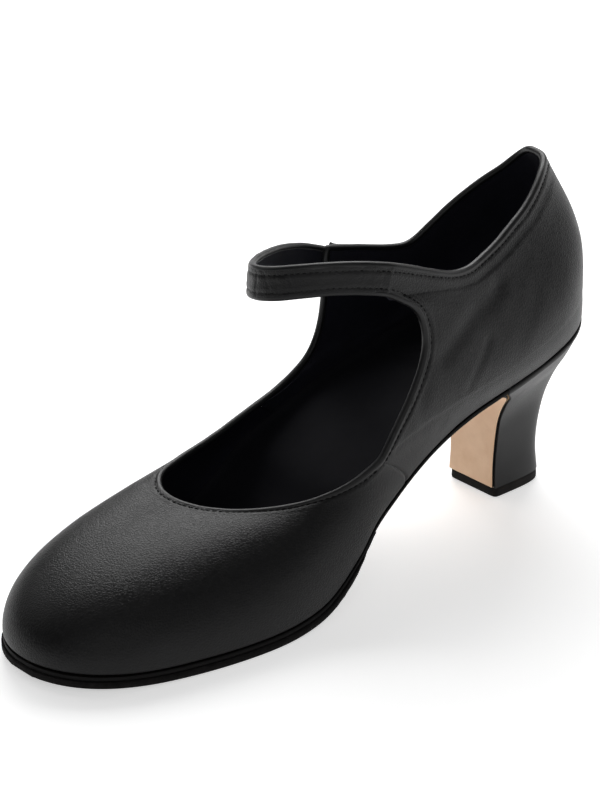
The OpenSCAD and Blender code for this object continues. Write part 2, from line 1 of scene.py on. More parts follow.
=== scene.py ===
"""Looks of a covered-heel dance shoe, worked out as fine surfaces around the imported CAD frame.

Shapes are worked out in millimetres in the last's own frame: x from the heel back to the toe tip, +y towards
the inner side, z up from the ground. place() turns them into metres in the row frame. The upper is a set of
point functions (vamp, quarters, strap, heel), and each piece is a grid of such points, moved along its own
normals for thickness, seams and folds.
"""
import math

import bpy
import numpy as np
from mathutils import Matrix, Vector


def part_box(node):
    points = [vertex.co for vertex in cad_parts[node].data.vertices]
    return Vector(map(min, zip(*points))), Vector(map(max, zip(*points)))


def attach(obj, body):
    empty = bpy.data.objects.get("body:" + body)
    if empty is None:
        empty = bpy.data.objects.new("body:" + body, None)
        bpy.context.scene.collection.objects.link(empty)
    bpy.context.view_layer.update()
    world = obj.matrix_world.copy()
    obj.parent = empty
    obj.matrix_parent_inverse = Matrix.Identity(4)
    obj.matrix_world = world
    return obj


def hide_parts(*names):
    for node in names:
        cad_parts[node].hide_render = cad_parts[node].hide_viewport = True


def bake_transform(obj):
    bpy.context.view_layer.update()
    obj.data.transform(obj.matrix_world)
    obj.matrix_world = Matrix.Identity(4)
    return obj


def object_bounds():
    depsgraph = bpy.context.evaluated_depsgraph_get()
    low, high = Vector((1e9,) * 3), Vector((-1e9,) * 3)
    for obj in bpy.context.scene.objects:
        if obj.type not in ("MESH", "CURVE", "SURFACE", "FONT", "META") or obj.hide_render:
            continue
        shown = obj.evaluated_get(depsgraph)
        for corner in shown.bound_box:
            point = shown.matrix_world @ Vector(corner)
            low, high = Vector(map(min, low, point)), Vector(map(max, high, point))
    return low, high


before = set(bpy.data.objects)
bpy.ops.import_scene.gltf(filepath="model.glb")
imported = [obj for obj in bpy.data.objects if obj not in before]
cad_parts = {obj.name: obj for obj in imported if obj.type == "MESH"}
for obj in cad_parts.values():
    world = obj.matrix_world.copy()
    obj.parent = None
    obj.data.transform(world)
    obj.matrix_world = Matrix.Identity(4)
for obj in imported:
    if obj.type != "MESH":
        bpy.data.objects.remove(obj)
cad_low, cad_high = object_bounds()
random = np.random.default_rng(11)

# ---------- frame and sizes, in millimetres ----------
MM = 0.001
PIN_AT = (25.0, -1.2)
pin_low, pin_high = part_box("top_piece_pin")
origin = np.array([(pin_low.x + pin_high.x) / 2 - PIN_AT[0] * MM,
                   (pin_low.y + pin_high.y) / 2 - PIN_AT[1] * MM, 0])
SHOE = 233.0
HALF = SHOE / 2
SEAM_X = 101.0
LEATHER = 1.1
LINING = 0.8
STIFF = 0.8
FIT = 0.06
LAY = LEATHER + FIT + LINING
STRAP_W = 11.2
EDGE_GAP = 1.2
SEAM_IN = 2.75
BEAD_TALL = 1.15
BEAD_WIDE = 1.22
STITCH_PITCH = 2.0
STITCH_LONG = 1.5
STITCH_R = 0.21
SINK = 0.35
SOLE_T = 1.5
TREAD_T = 2.4
WELT = 0.6
Z_SOLE = -SINK - SOLE_T
Z_SOCK = -SINK + FIT + 2.0 + FIT + 1.6 + FIT
LIFT_T = 3.5


def place(p):
    """Last's frame in millimetres to row frame in metres."""
    return np.asarray(p, float) * MM + origin


# ---------- small mathematics ----------
def length(v):
    return np.linalg.norm(v, axis=-1)


def unit(v):
    return v / np.maximum(length(v), 1e-9)[..., None]


def ease(t):
    """Smooth step: 3c^2 - 2c^3 of t held between 0 and 1."""
    c = np.clip(t, 0, 1)
    return c * c * (3 - 2 * c)


def hill(x, width):
    """Bell curve exp(-(x / width)^2)."""
    return np.exp(-(x / width) ** 2)


def track(stations, x):
    """Cubic Hermite curve through (parameter, value) stations; each slope is that between its neighbours."""
    t = np.array([s[0] for s in stations], float)
    v = np.array([np.atleast_1d(s[1]) for s in stations], float)
    k = np.arange(len(t))
    a, b = np.maximum(k - 1, 0), np.minimum(k + 1, len(t) - 1)
    m = (v[b] - v[a]) / (t[b] - t[a])[:, None]
    x = np.asarray(x, float)
    i = np.clip(np.searchsorted(t, x, "right") - 1, 0, len(t) - 2)
    h = (t[i + 1] - t[i])[..., None]
    u = (x - t[i])[..., None] / h
    out = ((2 * u**3 - 3 * u**2 + 1) * v[i] + (u**3 - 2 * u**2 + u) * h * m[i]
           + (3 * u**2 - 2 * u**3) * v[i + 1] + (u**3 - u**2) * h * m[i + 1])
    return out[..., 0] if v.shape[1] == 1 else out


def run(line):
    """Distance along a line at each of its points."""
    return np.concatenate([[0], np.cumsum(length(np.diff(line, axis=0)))])


def spread(points):
    """Stations 0 to 1 by distance along a list of points."""
    points = np.array(points, float)
    d = run(points)
    return list(zip(d / d[-1], points))


def blurred(line, kernel):
    """A line of points blurred by a bell curve of weights, with its ends carried on straight."""
    k = len(kernel) // 2
    kernel = kernel / kernel.sum()
    long = np.concatenate([2 * line[0] - line[k:0:-1], line, 2 * line[-1] - line[-2:-k - 2:-1]])
    return np.stack([np.convolve(c, kernel, "valid") for c in long.T], -1)


def ripple(p, size, seed):
    """Smooth random relief between about -1 and 1: eight sine waves of random direction, size apart."""
    source = np.random.default_rng(seed)
    wave = unit(source.normal(size=(8, 3))) * (2 * np.pi / size) * source.uniform(0.7, 1.4, (8, 1))
    phase = source.uniform(0, 2 * np.pi, 8)
    return np.sin(p @ wave.T + phase).mean(-1) * 1.8


def nearest(p, line):
    """Distance from each point of a grid to a line's own points."""
    flat = p.reshape(-1, 3).astype(np.float32)
    line = np.asarray(line, np.float32)
    parts = [np.sqrt(((q[:, None] - line) ** 2).sum(-1)).min(1)
             for q in np.array_split(flat, 1 + len(flat) // 1500)]
    return np.concatenate(parts).reshape(p.shape[:-1])


# ---------- the last: sole outline and profile ----------
SEAT_LINE = [(0, 64), (20, 57.8), (44, 52.2), (68, 47.5), (88, 41.2), (107.5, 31.4), (116, 26.2), (124, 18),
             (137, 8.6), (150, 5.2), (170, 4.31), (200, 5), (233, 7.5)]
INNER_HALF = [(0, 30), (30, 27.5), (68, 27.5), (97, 30.5), (124, 35.2), (158, 38.3), (200, 35.5), (233, 34)]
OUTER_HALF = [(0, 30), (30, 27.5), (68, 28.5), (97, 32), (124, 37), (145, 39.2), (175, 38.8), (200, 37),
              (233, 34)]


def seat(x):
    return track(SEAT_LINE, x)


def half_w(x, side):
    """Half width at x: a track, closed at both ends by 1 - exp(-distance / radius) under a root."""
    ends = np.sqrt((1 - np.exp(-np.maximum(x, 0) / 15)) * (1 - np.exp(-np.maximum(SHOE - x, 0) / 20)))
    return np.where(side > 0, track(INNER_HALF, x), track(OUTER_HALF, x)) * ends


def foot_pt(x, side):
    x, side = np.broadcast_arrays(np.asarray(x, float), side)
    return np.stack([x, side * half_w(x, side), seat(x)], -1)


def loop(psi):
    """Once round the sole edge: 0 heel, 90 inner side, 180 toe, 270 outer side."""
    return foot_pt(HALF * (1 - np.cos(np.radians(psi))), np.where(psi <= 180, 1, -1))


SEAM_PSI = math.degrees(math.acos(1 - SEAM_X / HALF))

# ---------- vamp ----------
THROAT = spread([(116, 35.5, 49), (127, 31.3, 43.8), (138, 24.5, 39.3), (149, 15.5, 36.8), (158, 6, 36),
                 (163.5, -4, 36.3), (165, -12.5, 37.6), (159, -21, 38.5), (147, -25.5, 39.3),
                 (131, -28.5, 41.3), (113, -30.5, 45.5)])


def vamp_pt(a, v):
    """Cubic Bezier rib from the sole edge (v = 0) to the throat (v = 1), a going round the toe."""
    a, v = np.broadcast_arrays(np.asarray(a, float), np.asarray(v, float))
    psi = SEAM_PSI + (360 - 2 * SEAM_PSI) * a
    low, top = loop(psi), track(THROAT, a)
    d = loop(psi + 0.5) - loop(psi - 0.5)
    out = unit(np.stack([d[..., 1], -d[..., 0], np.zeros_like(a)], -1))
    toe = hill(a - 0.5, 0.26)[..., None]
    up = np.array([0, 0, 1.0])
    tall = (top - low)[..., 2:]
    flat = (low - top) * (1, 1, 0)
    c1 = low + up * tall * (0.42 + 0.24 * toe) - out * (1.2 + 0.8 * toe)
    c2 = top + flat * (0.34 + 0.22 * toe) - up * tall * (0.26 - 0.22 * toe)
    v = v[..., None]
    return low * (1 - v) ** 3 + c1 * 3 * v * (1 - v) ** 2 + c2 * 3 * v * v * (1 - v) + top * v**3


# ---------- strap ----------
STRAP_TOP = spread([(105.6, 29, 112.1), (113.3, 27, 113.9), (120.4, 24, 114.9), (127, 19.5, 114.9),
                    (132.5, 13.5, 114), (136, 6.5, 112.3), (136.7, 0, 110.8), (134.5, -6, 109.3),
                    (129, -12.5, 107), (121, -19, 104.7), (110, -26, 101.6), (99, -31.8, 98.3),
                    (88, -35.2, 94.8), (80, -36, 91.7), (70, -36.6, 87.2), (58.5, -36.6, 82),
                    (47, -36.6, 76.8)])
STRAP_LEN = run(np.array([s[1] for s in STRAP_TOP]))[-1]


def strap_dir(t):
    return unit(track(STRAP_TOP, np.minimum(t + 0.004, 1)) - track(STRAP_TOP, np.maximum(t - 0.004, 0)))


def strap_down(t):
    t = np.asarray(t, float)
    d = strap_dir(t)
    w = np.stack([0.1 * hill(t - 0.36, 0.2), np.zeros_like(t), -np.ones_like(t)], -1)
    return unit(w - d * (w * d).sum(-1, keepdims=True))


def strap_out(t):
    return np.cross(strap_dir(t), strap_down(t))


def strap_pt(t, w):
    """Ribbon: the strap's top line at t, moved w widths across the strap."""
    t, w = np.broadcast_arrays(np.asarray(t, float), np.asarray(w, float))
    return track(STRAP_TOP, t) + strap_down(t) * (w * STRAP_W)[..., None]


# ---------- quarters ----------
BACK_LINE = [(0, (0, 0, 64)), (0.15, (-1.3, 0, 72)), (0.32, (-1.6, 0, 82)), (0.5, (0.3, 0, 92)),
             (0.7, (4.6, 0, 103)), (0.87, (9.9, 0, 113)), (1, (14, 0, 120))]
TOP_INNER = spread([(14, 0, 120), (15, 4.5, 120), (17.8, 8.6, 119.4), (23.6, 13, 117.6), (29.2, 16, 114.6),
                    (37.2, 19, 110.4), (45.5, 21, 106.9), (53.8, 23, 103.7), (63.2, 25, 101.2),
                    (69.8, 26.5, 100.3), (77.2, 27.5, 101.1), (85.6, 28.5, 104.1), (98.4, 29, 109.3),
                    (105.6, 29, 112.1)])
TOP_OUTER = spread([(14, 0, 120), (12.8, -4.5, 119), (12.8, -9, 116), (16, -14, 110.5), (22.1, -18.7, 105.2),
                    (30.4, -23.2, 98.2), (39, -26, 91.2), (45.6, -28, 86.3), (54, -29, 87), (66, -30, 90),
                    (82.5, -30, 94.3)])
ROOT_LOW = strap_pt(0.0, 1.0)
NOTCH_INNER = [(0.2, (116, 35.5, 49)), (0.32, (109.9, 35, 57.5)), (0.45, (99.8, 33.2, 69.5)),
               (0.6, (93.6, 31.3, 80.5)), (0.72, (94.3, 30.2, 90)), (0.79, (98.2, 30, 95.2)),
               (0.84, (103.2, 29.6, 98.8)), (0.89, ROOT_LOW)]
NOTCH_OUTER = [(0.2, (113, -30.5, 45.5)), (0.3, (101, -31.5, 48.7)), (0.42, (90, -31.8, 54.5)),
               (0.53, (84.5, -31.8, 62.5)), (0.66, (82.4, -31.4, 74)), (0.89, (82.4, -30.4, 87))]
TAB = {1: (ROOT_LOW, strap_pt(0.0, 0.0)), -1: (np.array([82.4, -30.4, 87]), np.array([82.5, -30, 94.3]))}


def edge_pt(side, v):
    """Front edge of a quarter: side seam with the vamp, then the open notch, then the strap root or tab."""
    seam = vamp_pt(0.0 if side > 0 else 1.0, np.minimum(v * 5, 1))
    notch = track(NOTCH_INNER if side > 0 else NOTCH_OUTER, np.clip(v, 0.2, 0.89))
    low, top = TAB[side]
    k = np.clip((v - 0.89) / 0.11, 0, 1)[..., None]
    v = v[..., None]
    return np.where(v <= 0.2, seam, np.where(v <= 0.89, notch, low * (1 - k) + top * k))


EDGE_V = np.linspace(0, 1, 201)


def eased_edge(side):
    """The front edge with its corners blurred away, for the patch behind it. Both ends stay in place."""
    return blurred(edge_pt(side, EDGE_V), hill(np.arange(-60, 61), 28.0))


EASED = {1: eased_edge(1), -1: eased_edge(-1)}


def top_pt(side, s):
    return track(TOP_INNER if side > 0 else TOP_OUTER, 0.35 * (1 - np.cos(np.pi / 2 * s)) + 0.65 * s)


def low_pt(side, s):
    return foot_pt(SEAM_X * (1 - np.cos(np.pi / 2 * s)), side)


CORNER_FADE = 0.13


def quarter_pt(side, s, v):
    """Coons patch between sole edge, back seam, top line and front edge, filled out at the side.

    Corners of the front edge fade out behind it over about CORNER_FADE of the patch."""
    s, v = np.broadcast_arrays(np.asarray(s, float), np.asarray(v, float))
    low, top, back = low_pt(side, s), top_pt(side, s), track(BACK_LINE, v)
    front = np.stack([np.interp(v, EDGE_V, c) for c in EASED[side].T], -1)
    front = front + (edge_pt(side, v) - front) * hill(1 - s, CORNER_FADE)[..., None]
    full = 24.3 * v * (1 - v) ** 2 * np.sin(np.pi * s)
    ends = np.array([0.0, 1.0])
    (l0, l1), (t0, t1) = low_pt(side, ends), top_pt(side, ends)
    s, v = s[..., None], v[..., None]
    corners = l0 * (1 - s) * (1 - v) + l1 * s * (1 - v) + t0 * (1 - s) * v + t1 * s * v
    p = low * (1 - v) + top * v + back * (1 - s) + front * s - corners
    p[..., 1] += side * full
    return p


# ---------- grids and closed meshes ----------
def normals(g, sign):
    """Unit normals of a grid, from the cross product of its two directions."""
    return unit(np.cross(np.gradient(g, axis=0), np.gradient(g, axis=1))) * sign


def outward(verts, faces):
    """The quads, turned round if they enclose a negative volume."""
    p = verts[faces]
    six = (p[:, 0] * np.cross(p[:, 1], p[:, 2])).sum() + (p[:, 0] * np.cross(p[:, 2], p[:, 3])).sum()
    return faces if six > 0 else faces[:, ::-1]


def slab(outer, inner):
    """Closed solid between two grids of the same size."""
    nu, nv = outer.shape[:2]
    m = nu * nv
    k = np.arange(m).reshape(nu, nv)
    top = np.stack([k[:-1, :-1], k[1:, :-1], k[1:, 1:], k[:-1, 1:]], -1).reshape(-1, 4)
    rim = np.concatenate([k[:, 0], k[-1, 1:], k[-2::-1, -1], k[0, -2:0:-1]])
    nxt = np.roll(rim, -1)
    wall = np.stack([nxt, rim, rim + m, nxt + m], -1)
    verts = np.concatenate([outer.reshape(-1, 3), inner.reshape(-1, 3)])
    return verts, outward(verts, np.concatenate([top, top[:, ::-1] + m, wall]))


def tube(path, side, up, profile):
    """Closed solid: a closed profile of (side, up) points carried along a path, each end drawn to a point."""
    rings = path[:, None] + side[:, None] * profile[..., :1] + up[:, None] * profile[..., 1:]
    n, m = rings.shape[:2]
    k = np.arange(n * m).reshape(n, m)
    nxt = np.roll(k, -1, 1)
    skin = np.stack([k[:-1], nxt[:-1], nxt[1:], k[1:]], -1).reshape(-1, 4)
    half = np.arange(m // 2)
    caps = [np.stack([r[half], r[(half + 1)], r[(m - 2 - half) % m], r[(m - 1 - half) % m]], -1)[: m // 2 - 1]
            for r in (k[0], k[-1][::-1])]
    verts = rings.reshape(-1, 3)
    return verts, outward(verts, np.concatenate([skin, *caps]))


def oval(count, wide, tall, power=2.0):
    """Closed oval of (side, up) points; a power over 2 squares it off."""
    a = (np.arange(count) + 0.5) * 2 * np.pi / count
    c, s = np.cos(a), np.sin(a)
    return np.stack([np.sign(c) * np.abs(c) ** (2 / power) * wide,
                     np.sign(s) * np.abs(s) ** (2 / power) * tall], -1)


def piece(name, solid, body, material, replaces=(), sharp=40):
    """One finished mesh object in the row frame, riding on a body when it is given one by name."""
    verts, faces = solid
    mesh = bpy.data.meshes.new(name)
    mesh.from_pydata(place(verts), [], faces.tolist() if hasattr(faces, "tolist") else faces)
    mesh.validate()
    mesh.polygons.foreach_set("use_smooth", np.ones(len(mesh.polygons), bool))
    mesh.set_sharp_from_angle(angle=math.radians(sharp))
    mesh.materials.append(material)
    obj = bpy.data.objects.new(name, mesh)
    bpy.context.scene.collection.objects.link(obj)
    if isinstance(body, str):
        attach(obj, body)
    else:
        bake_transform(obj)
    if replaces:
        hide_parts(*replaces)
    return obj


# ---------- materials ----------
def linear(hex_text):
    """sRGB hex to linear colour."""
    c = np.array([int(hex_text[k:k + 2], 16) for k in (1, 3, 5)]) / 255
    return (*np.where(c <= 0.04045, c / 12.92, ((c + 0.055) / 1.055) ** 2.4), 1)


def add(tree, kind, settings=None, **inputs):
    """Adds one node: settings are its properties, inputs its sockets by name, as values or links."""
    node = tree.nodes.new("ShaderNode" + kind)
    for key, value in (settings or {}).items():
        setattr(node, key, value)
    for key, value in inputs.items():
        by_number = key[0] == "i" and key[1:].isdigit()
        socket = node.inputs[int(key[1:]) if by_number else key.replace("_", " ")]
        if isinstance(value, bpy.types.NodeSocket):
            tree.links.new(value, socket)
        else:
            socket.default_value = value
    return node


def surface(name, dark, light, rough, patch_mm, relief, **shader):
    """Procedural surface: two tones and a roughness range mixed by noise, and a stack of bumps.

    relief is a list of (kind, size in mm, height in mm): cells are leather pores, grain is fine noise."""
    material = bpy.data.materials.new(name)
    material.use_nodes = True
    tree = material.node_tree
    tree.nodes.clear()
    here = add(tree, "TexCoord").outputs["Object"]
    patch = add(tree, "TexNoise", Vector=here, Scale=1000 / patch_mm, Detail=5.0,
                Roughness=0.6).outputs["Fac"]
    tone = add(tree, "ValToRGB", Fac=patch)
    tone.color_ramp.elements[0].position = 0.32
    tone.color_ramp.elements[0].color = linear(dark)
    tone.color_ramp.elements[1].position = 0.68
    tone.color_ramp.elements[1].color = linear(light)
    gloss = add(tree, "MapRange", Value=patch, To_Min=rough[1], To_Max=rough[0])
    bump = None
    for kind, size, height in relief:
        if kind == "cells":
            warp = add(tree, "TexNoise", Vector=here, Scale=600 / size, Detail=2.0).outputs["Color"]
            bent = add(tree, "VectorMath", {"operation": "MULTIPLY_ADD"}, i0=warp,
                       i1=(size * MM * 0.8,) * 3, i2=here)
            cells = add(tree, "TexVoronoi", {"feature": "DISTANCE_TO_EDGE"}, Vector=bent.outputs[0],
                        Scale=1000 / size)
            value = add(tree, "MapRange", Value=cells.outputs["Distance"], From_Max=0.22).outputs["Result"]
        elif kind == "ribs":
            wave = add(tree, "TexWave", {"bands_direction": "Z"}, Vector=here, Scale=1000 / size / 6.283)
            value = wave.outputs["Fac"]
        else:
            value = add(tree, "TexNoise", Vector=here, Scale=1000 / size, Detail=4.0,
                        Roughness=0.65).outputs["Fac"]
        settings = {"Strength": 1.0, "Distance": height * MM, "Height": value}
        if bump:
            settings["Normal"] = bump
        bump = add(tree, "Bump", **settings).outputs["Normal"]
    bsdf = add(tree, "BsdfPrincipled", Base_Color=tone.outputs["Color"],
               Roughness=gloss.outputs["Result"], Normal=bump)
    for key, value in shader.items():
        bsdf.inputs[key.replace("_", " ")].default_value = value
    out = add(tree, "OutputMaterial", Surface=bsdf.outputs["BSDF"])
    out.is_active_output = True
    return material


# full-grain kid leather, dyed through and finished with a thin wax: fine pores, soft broad sheen
kid = surface("kid_leather_waxed", "#0c0c0d", "#101011", (0.36, 0.45), 26,
              [("cells", 0.95, 0.055), ("grain", 0.4, 0.022)], Specular_IOR_Level=0.22)
# the same leather stretched over an edge cord: tighter and a little glossier
rolled = surface("kid_leather_rolled_edge", "#0e0e0f", "#131314", (0.32, 0.42), 14,
                 [("cells", 0.6, 0.02), ("grain", 0.3, 0.015)], Specular_IOR_Level=0.28)
# the same leather wet-stretched over the heel block: grain pulled nearly smooth
stretched = surface("kid_leather_stretched", "#0c0c0d", "#101011", (0.36, 0.46), 30,
                    [("cells", 0.8, 0.015), ("grain", 0.4, 0.012)], Specular_IOR_Level=0.22)
# lining: drum-dyed pigskin split, blue-black, matt
pigskin = surface("pigskin_lining", "#16161c", "#1d1d25", (0.6, 0.75), 18,
                  [("cells", 1.1, 0.02), ("grain", 0.3, 0.02)], Specular_IOR_Level=0.12)
# sock: coated textile, dark grey and matt
sock_cloth = surface("coated_sock", "#131317", "#18181c", (0.65, 0.8), 24, [("grain", 0.5, 0.03)],
                     Specular_IOR_Level=0.08)
# polyester thread, twisted and waxed
thread = surface("polyester_thread", "#040404", "#080808", (0.6, 0.75), 5, [("grain", 0.2, 0.03)],
                 Specular_IOR_Level=0.1)
# sole bend with its cut edge inked black and burnished
inked = surface("inked_sole_bend", "#080707", "#0e0d0d", (0.55, 0.7), 12, [("grain", 0.6, 0.05)],
                Specular_IOR_Level=0.12)
# chrome suede: buffed nap, no gloss
suede = surface("chrome_suede_nap", "#0b0a0a", "#161414", (0.9, 1.0), 3,
                [("grain", 1.6, 0.2), ("grain", 0.45, 0.18)],
                Sheen_Weight=0.04, Sheen_Roughness=0.6, Specular_IOR_Level=0.05)
# vegetable-tanned bend, undyed, smooth-cut: faint fibre mottling
tan = surface("vegetable_tanned_bend", "#dcb693", "#e8c5a4", (0.5, 0.64), 9,
              [("grain", 0.7, 0.02), ("grain", 0.25, 0.015)])
# dense moulded rubber, sanded round its edge
rubber = surface("sanded_rubber", "#110f0e", "#1a1716", (0.65, 0.8), 6, [("grain", 0.5, 0.05)],
                 Specular_IOR_Level=0.15)
# nickel-plated zinc casting, polished, with fine handling scratches in its gloss
nickel = surface("polished_nickel", "#c4c4c6", "#d2d2d2", (0.12, 0.28), 4,
                 [("grain", 1.2, 0.004)], Metallic=1.0)
# woven elastic: ribs along the band
elastic = surface("woven_elastic", "#17171a", "#232327", (0.75, 0.9), 4,
                  [("ribs", 1.1, 0.12), ("grain", 0.4, 0.05)])
# inner parts, out of sight in the finished shoe
canvas = surface("resin_canvas", "#b8b09a", "#c9c1ab", (0.7, 0.85), 6, [("grain", 0.9, 0.06)])
fibre = surface("cellulose_board", "#93724c", "#a5835c", (0.75, 0.9), 8, [("grain", 0.8, 0.05)])
cork = surface("granulated_cork", "#7c5534", "#a3774c", (0.8, 0.95), 2, [("cells", 1.8, 0.15)])
foam = surface("latex_foam", "#3a3a3e", "#48484c", (0.85, 0.95), 3, [("cells", 0.7, 0.08)])
plastic = surface("moulded_heel_plastic", "#9a7d58", "#a88a63", (0.35, 0.45), 30, [("grain", 2.5, 0.02)])
spring = surface("tempered_steel", "#8d8f92", "#9c9ea1", (0.3, 0.42), 5,
                 [("grain", 0.8, 0.006)], Metallic=1.0)

# ---------- rails: the rolled edges of the upper ----------
RAIL_STEP = 0.4


def smooth(line, sigma):
    """Gaussian blur along a line of points RAIL_STEP apart, with its ends carried on straight."""
    k = int(3 * sigma / RAIL_STEP)
    return blurred(line, hill(np.arange(-k, k + 1) * RAIL_STEP, sigma * math.sqrt(2)))


def rail(parts, sigma=2.0):
    """Joins edges into one smooth rail: edge line, line of the seam beside it, outward normals, part ends."""
    edge, seam, out = (np.concatenate(x) for x in zip(*parts))
    d = run(edge)
    keep = np.concatenate([[True], np.diff(d) > 1e-6])
    marks = d[np.cumsum([len(p[0]) for p in parts]) - 1]
    at = np.arange(0, d[-1], RAIL_STEP)
    edge, seam, out = (smooth(np.stack([np.interp(at, d[keep], c[keep]) for c in x.T], -1), sigma)
                       for x in (edge, seam, out))
    ahead = unit(np.gradient(edge, axis=0))
    into = seam - edge
    into = unit(into - ahead * (into * ahead).sum(-1, keepdims=True))
    normal = np.cross(ahead, into)
    normal *= np.sign((normal * out).sum(-1, keepdims=True))
    return {"edge": edge, "seam": seam, "into": into, "out": unit(normal),
            "marks": (marks / RAIL_STEP).astype(int)}


def quarter_out(side, s, v):
    """Outward unit normal of a quarter."""
    a, b = np.maximum(s - 0.02, 0), np.maximum(v - 0.02, 0)
    a2, b2 = np.minimum(a + 0.02, 1), np.minimum(b + 0.02, 1)
    du = quarter_pt(side, a2, v) - quarter_pt(side, a, v)
    dv = quarter_pt(side, s, b2) - quarter_pt(side, s, b)
    return unit(np.cross(du, dv)) * -side


def notch_speed(side, v):
    """Millimetres square to a quarter's front edge per unit of s, at least a third of those along the row."""
    v = np.asarray(v, float)
    step = (quarter_pt(side, np.ones_like(v), v) - quarter_pt(side, np.full_like(v, 0.985), v)) / 0.015
    along = unit(edge_pt(side, np.minimum(v + 0.01, 1)) - edge_pt(side, np.maximum(v - 0.01, 0)))
    return np.maximum(length(np.cross(step, along)), 0.35 * length(step))


def front_points(side):
    """Points all over the front of a quarter, to find the nearest one in."""
    s, v = np.meshgrid(np.linspace(0.8, 1, 70), np.linspace(0.12, 1, 420), indexing="ij")
    return quarter_pt(side, s, v).reshape(-1, 3)


FRONT = {side: front_points(side) for side in (1, -1)}


def notch_part(side, v):
    """The notch's edge, and the places on the quarter nearest to a line drawn square to that edge."""
    edge = edge_pt(side, v)
    along = unit(edge_pt(side, np.minimum(v + 0.01, 0.99)) - edge_pt(side, np.maximum(v - 0.01, 0.2)))
    out = np.broadcast_to(unit(np.array([0.1, side, 0.1])), edge.shape)
    target = edge - unit(np.cross(out, along)) * side * SEAM_IN
    inner = np.stack([FRONT[side][((FRONT[side] - t) ** 2).sum(-1).argmin()] for t in target])
    return edge, inner, out


def collar_part(side, s):
    v = np.ones_like(s)
    speed = length(quarter_pt(side, s, v) - quarter_pt(side, s, v * 0.96)) / 0.04
    return quarter_pt(side, s, v), quarter_pt(side, s, 1 - SEAM_IN / speed), quarter_out(side, s, v)


def strap_part(t, w, sign):
    inner = w + sign * SEAM_IN / STRAP_W
    return strap_pt(t, w), strap_pt(t, inner), strap_out(t)


def throat_part(a):
    v = np.ones_like(a)
    speed = length(vamp_pt(a, v) - vamp_pt(a, v * 0.96)) / 0.04
    da = vamp_pt(np.minimum(a + 0.004, 1), v) - vamp_pt(np.maximum(a - 0.004, 0), v)
    inner = vamp_pt(a, 1 - SEAM_IN / speed)
    return vamp_pt(a, v), inner, unit(np.cross(da, inner - vamp_pt(a, v)))


fine = np.linspace(0, 1, 500)
rail_top = rail([throat_part(0.95 + 0.05 * fine), notch_part(-1, 0.2 + 0.79 * fine[1:]),
                 collar_part(-1, 1 - 0.002 - 0.998 * fine), collar_part(1, fine[1:]),
                 strap_part(fine[1:], 0.0, 1)])
rail_low = rail([notch_part(-1, 0.32 - 0.12 * fine), throat_part(1 - fine[1:]),
                 notch_part(1, 0.2 + 0.69 * fine[1:]), strap_part(fine[1:], 1.0, -1)])
side_seams = [vamp_pt(a, fine[::5]) for a in (0.0, 1.0)]
back_seam = quarter_pt(1, 0.0, fine[::5])
grooves = np.concatenate([r["seam"][::2] for r in (rail_top, rail_low)])


def dents(p, near=None):
    """Depth pressed into the leather: the stitched groove, the side seams and the closed back seam."""
    d = nearest(p, grooves)
    depth = 0.26 * hill(d, 0.42) - 0.07 * hill(d - 1.3, 0.7)
    depth = depth + 0.42 * hill(np.minimum(nearest(p, side_seams[0]), nearest(p, side_seams[1])), 0.45)
    return depth + 0.22 * hill(nearest(p, back_seam), 0.4)


def by_length(shape, across, gap, mid_rows):
    """Grid of shape(u, v) whose rows lie at set distances in mm from its top and bottom edges."""
    v = np.linspace(0, 1, 401)
    dense = shape(across[:, None], v[None])
    step = length(np.diff(dense, axis=1))
    far = np.concatenate([np.zeros((len(across), 1)), np.cumsum(step, 1)], 1)
    low = np.array([0, 0.12, 0.3, 0.55, 0.9, 1.3, 1.9])
    high = np.arange(gap, 6.2, 0.27)[::-1]
    total = far[:, -1:]
    middle = low[-1] + 0.8 + (total - high[0] - low[-1] - 1.6) * np.linspace(0, 1, mid_rows)
    rows = np.concatenate([np.broadcast_to(low, (len(across), len(low))), middle, total - high], 1)
    v_at = np.stack([np.interp(r, f, v) for r, f in zip(rows, far)])
    return v_at, rows


def tucked(grid, out, rows, depth):
    """Rounds the last stretch above the sole edge inwards, a quarter circle 1.3 mm high."""
    k = 1 - np.clip(rows / 1.3, 0, 1)
    return grid - out * (depth * (1 - np.sqrt(1 - k**2)))[..., None]


# ---------- vamp pieces ----------
ends_a = np.array([0, 0.0009, 0.0019, 0.003, 0.0045, 0.007])
vamp_a = np.concatenate([ends_a, np.linspace(0.01, 0.99, 215), 1 - ends_a[::-1]])
vamp_v, vamp_rows = by_length(vamp_pt, vamp_a, EDGE_GAP, 52)
vamp_base = vamp_pt(vamp_a[:, None], vamp_v)
vamp_out = normals(vamp_base, -1)
if (vamp_out[len(vamp_a) // 2, 20] * (1, 0, 0)).sum() < 0:
    vamp_out = -vamp_out
uneven = 0.10 * ripple(vamp_base, 34, 3) + 0.035 * ripple(vamp_base, 11, 4)
vamp_skin = vamp_base + vamp_out * (uneven - dents(vamp_base))[..., None]
vamp_skin = tucked(vamp_skin, vamp_out, vamp_rows, 0.9)
piece("vamp_leather", slab(vamp_skin, vamp_base - vamp_out * LEATHER), "shoe", kid, ["vamp"])


def puff(a, v):
    """Where the toe puff lies under the lining, 0 to 1."""
    return ease((0.5 - np.abs(a - 0.5) - 0.22) / 0.12) * ease((0.75 - (v - 0.004) / 0.946) / 0.35)


vamp_pad = STIFF * puff(vamp_a[:, None], vamp_v)
step2 = slice(None, None, 2)
lining_in = (vamp_base - vamp_out * (vamp_pad + LAY + FIT)[..., None])[step2]
lining_out = (vamp_base - vamp_out * (vamp_pad + LEATHER + 2 * FIT)[..., None])[step2]
piece("vamp_lining_skin", slab(lining_out, lining_in), "shoe", pigskin, ["vamp_lining"])

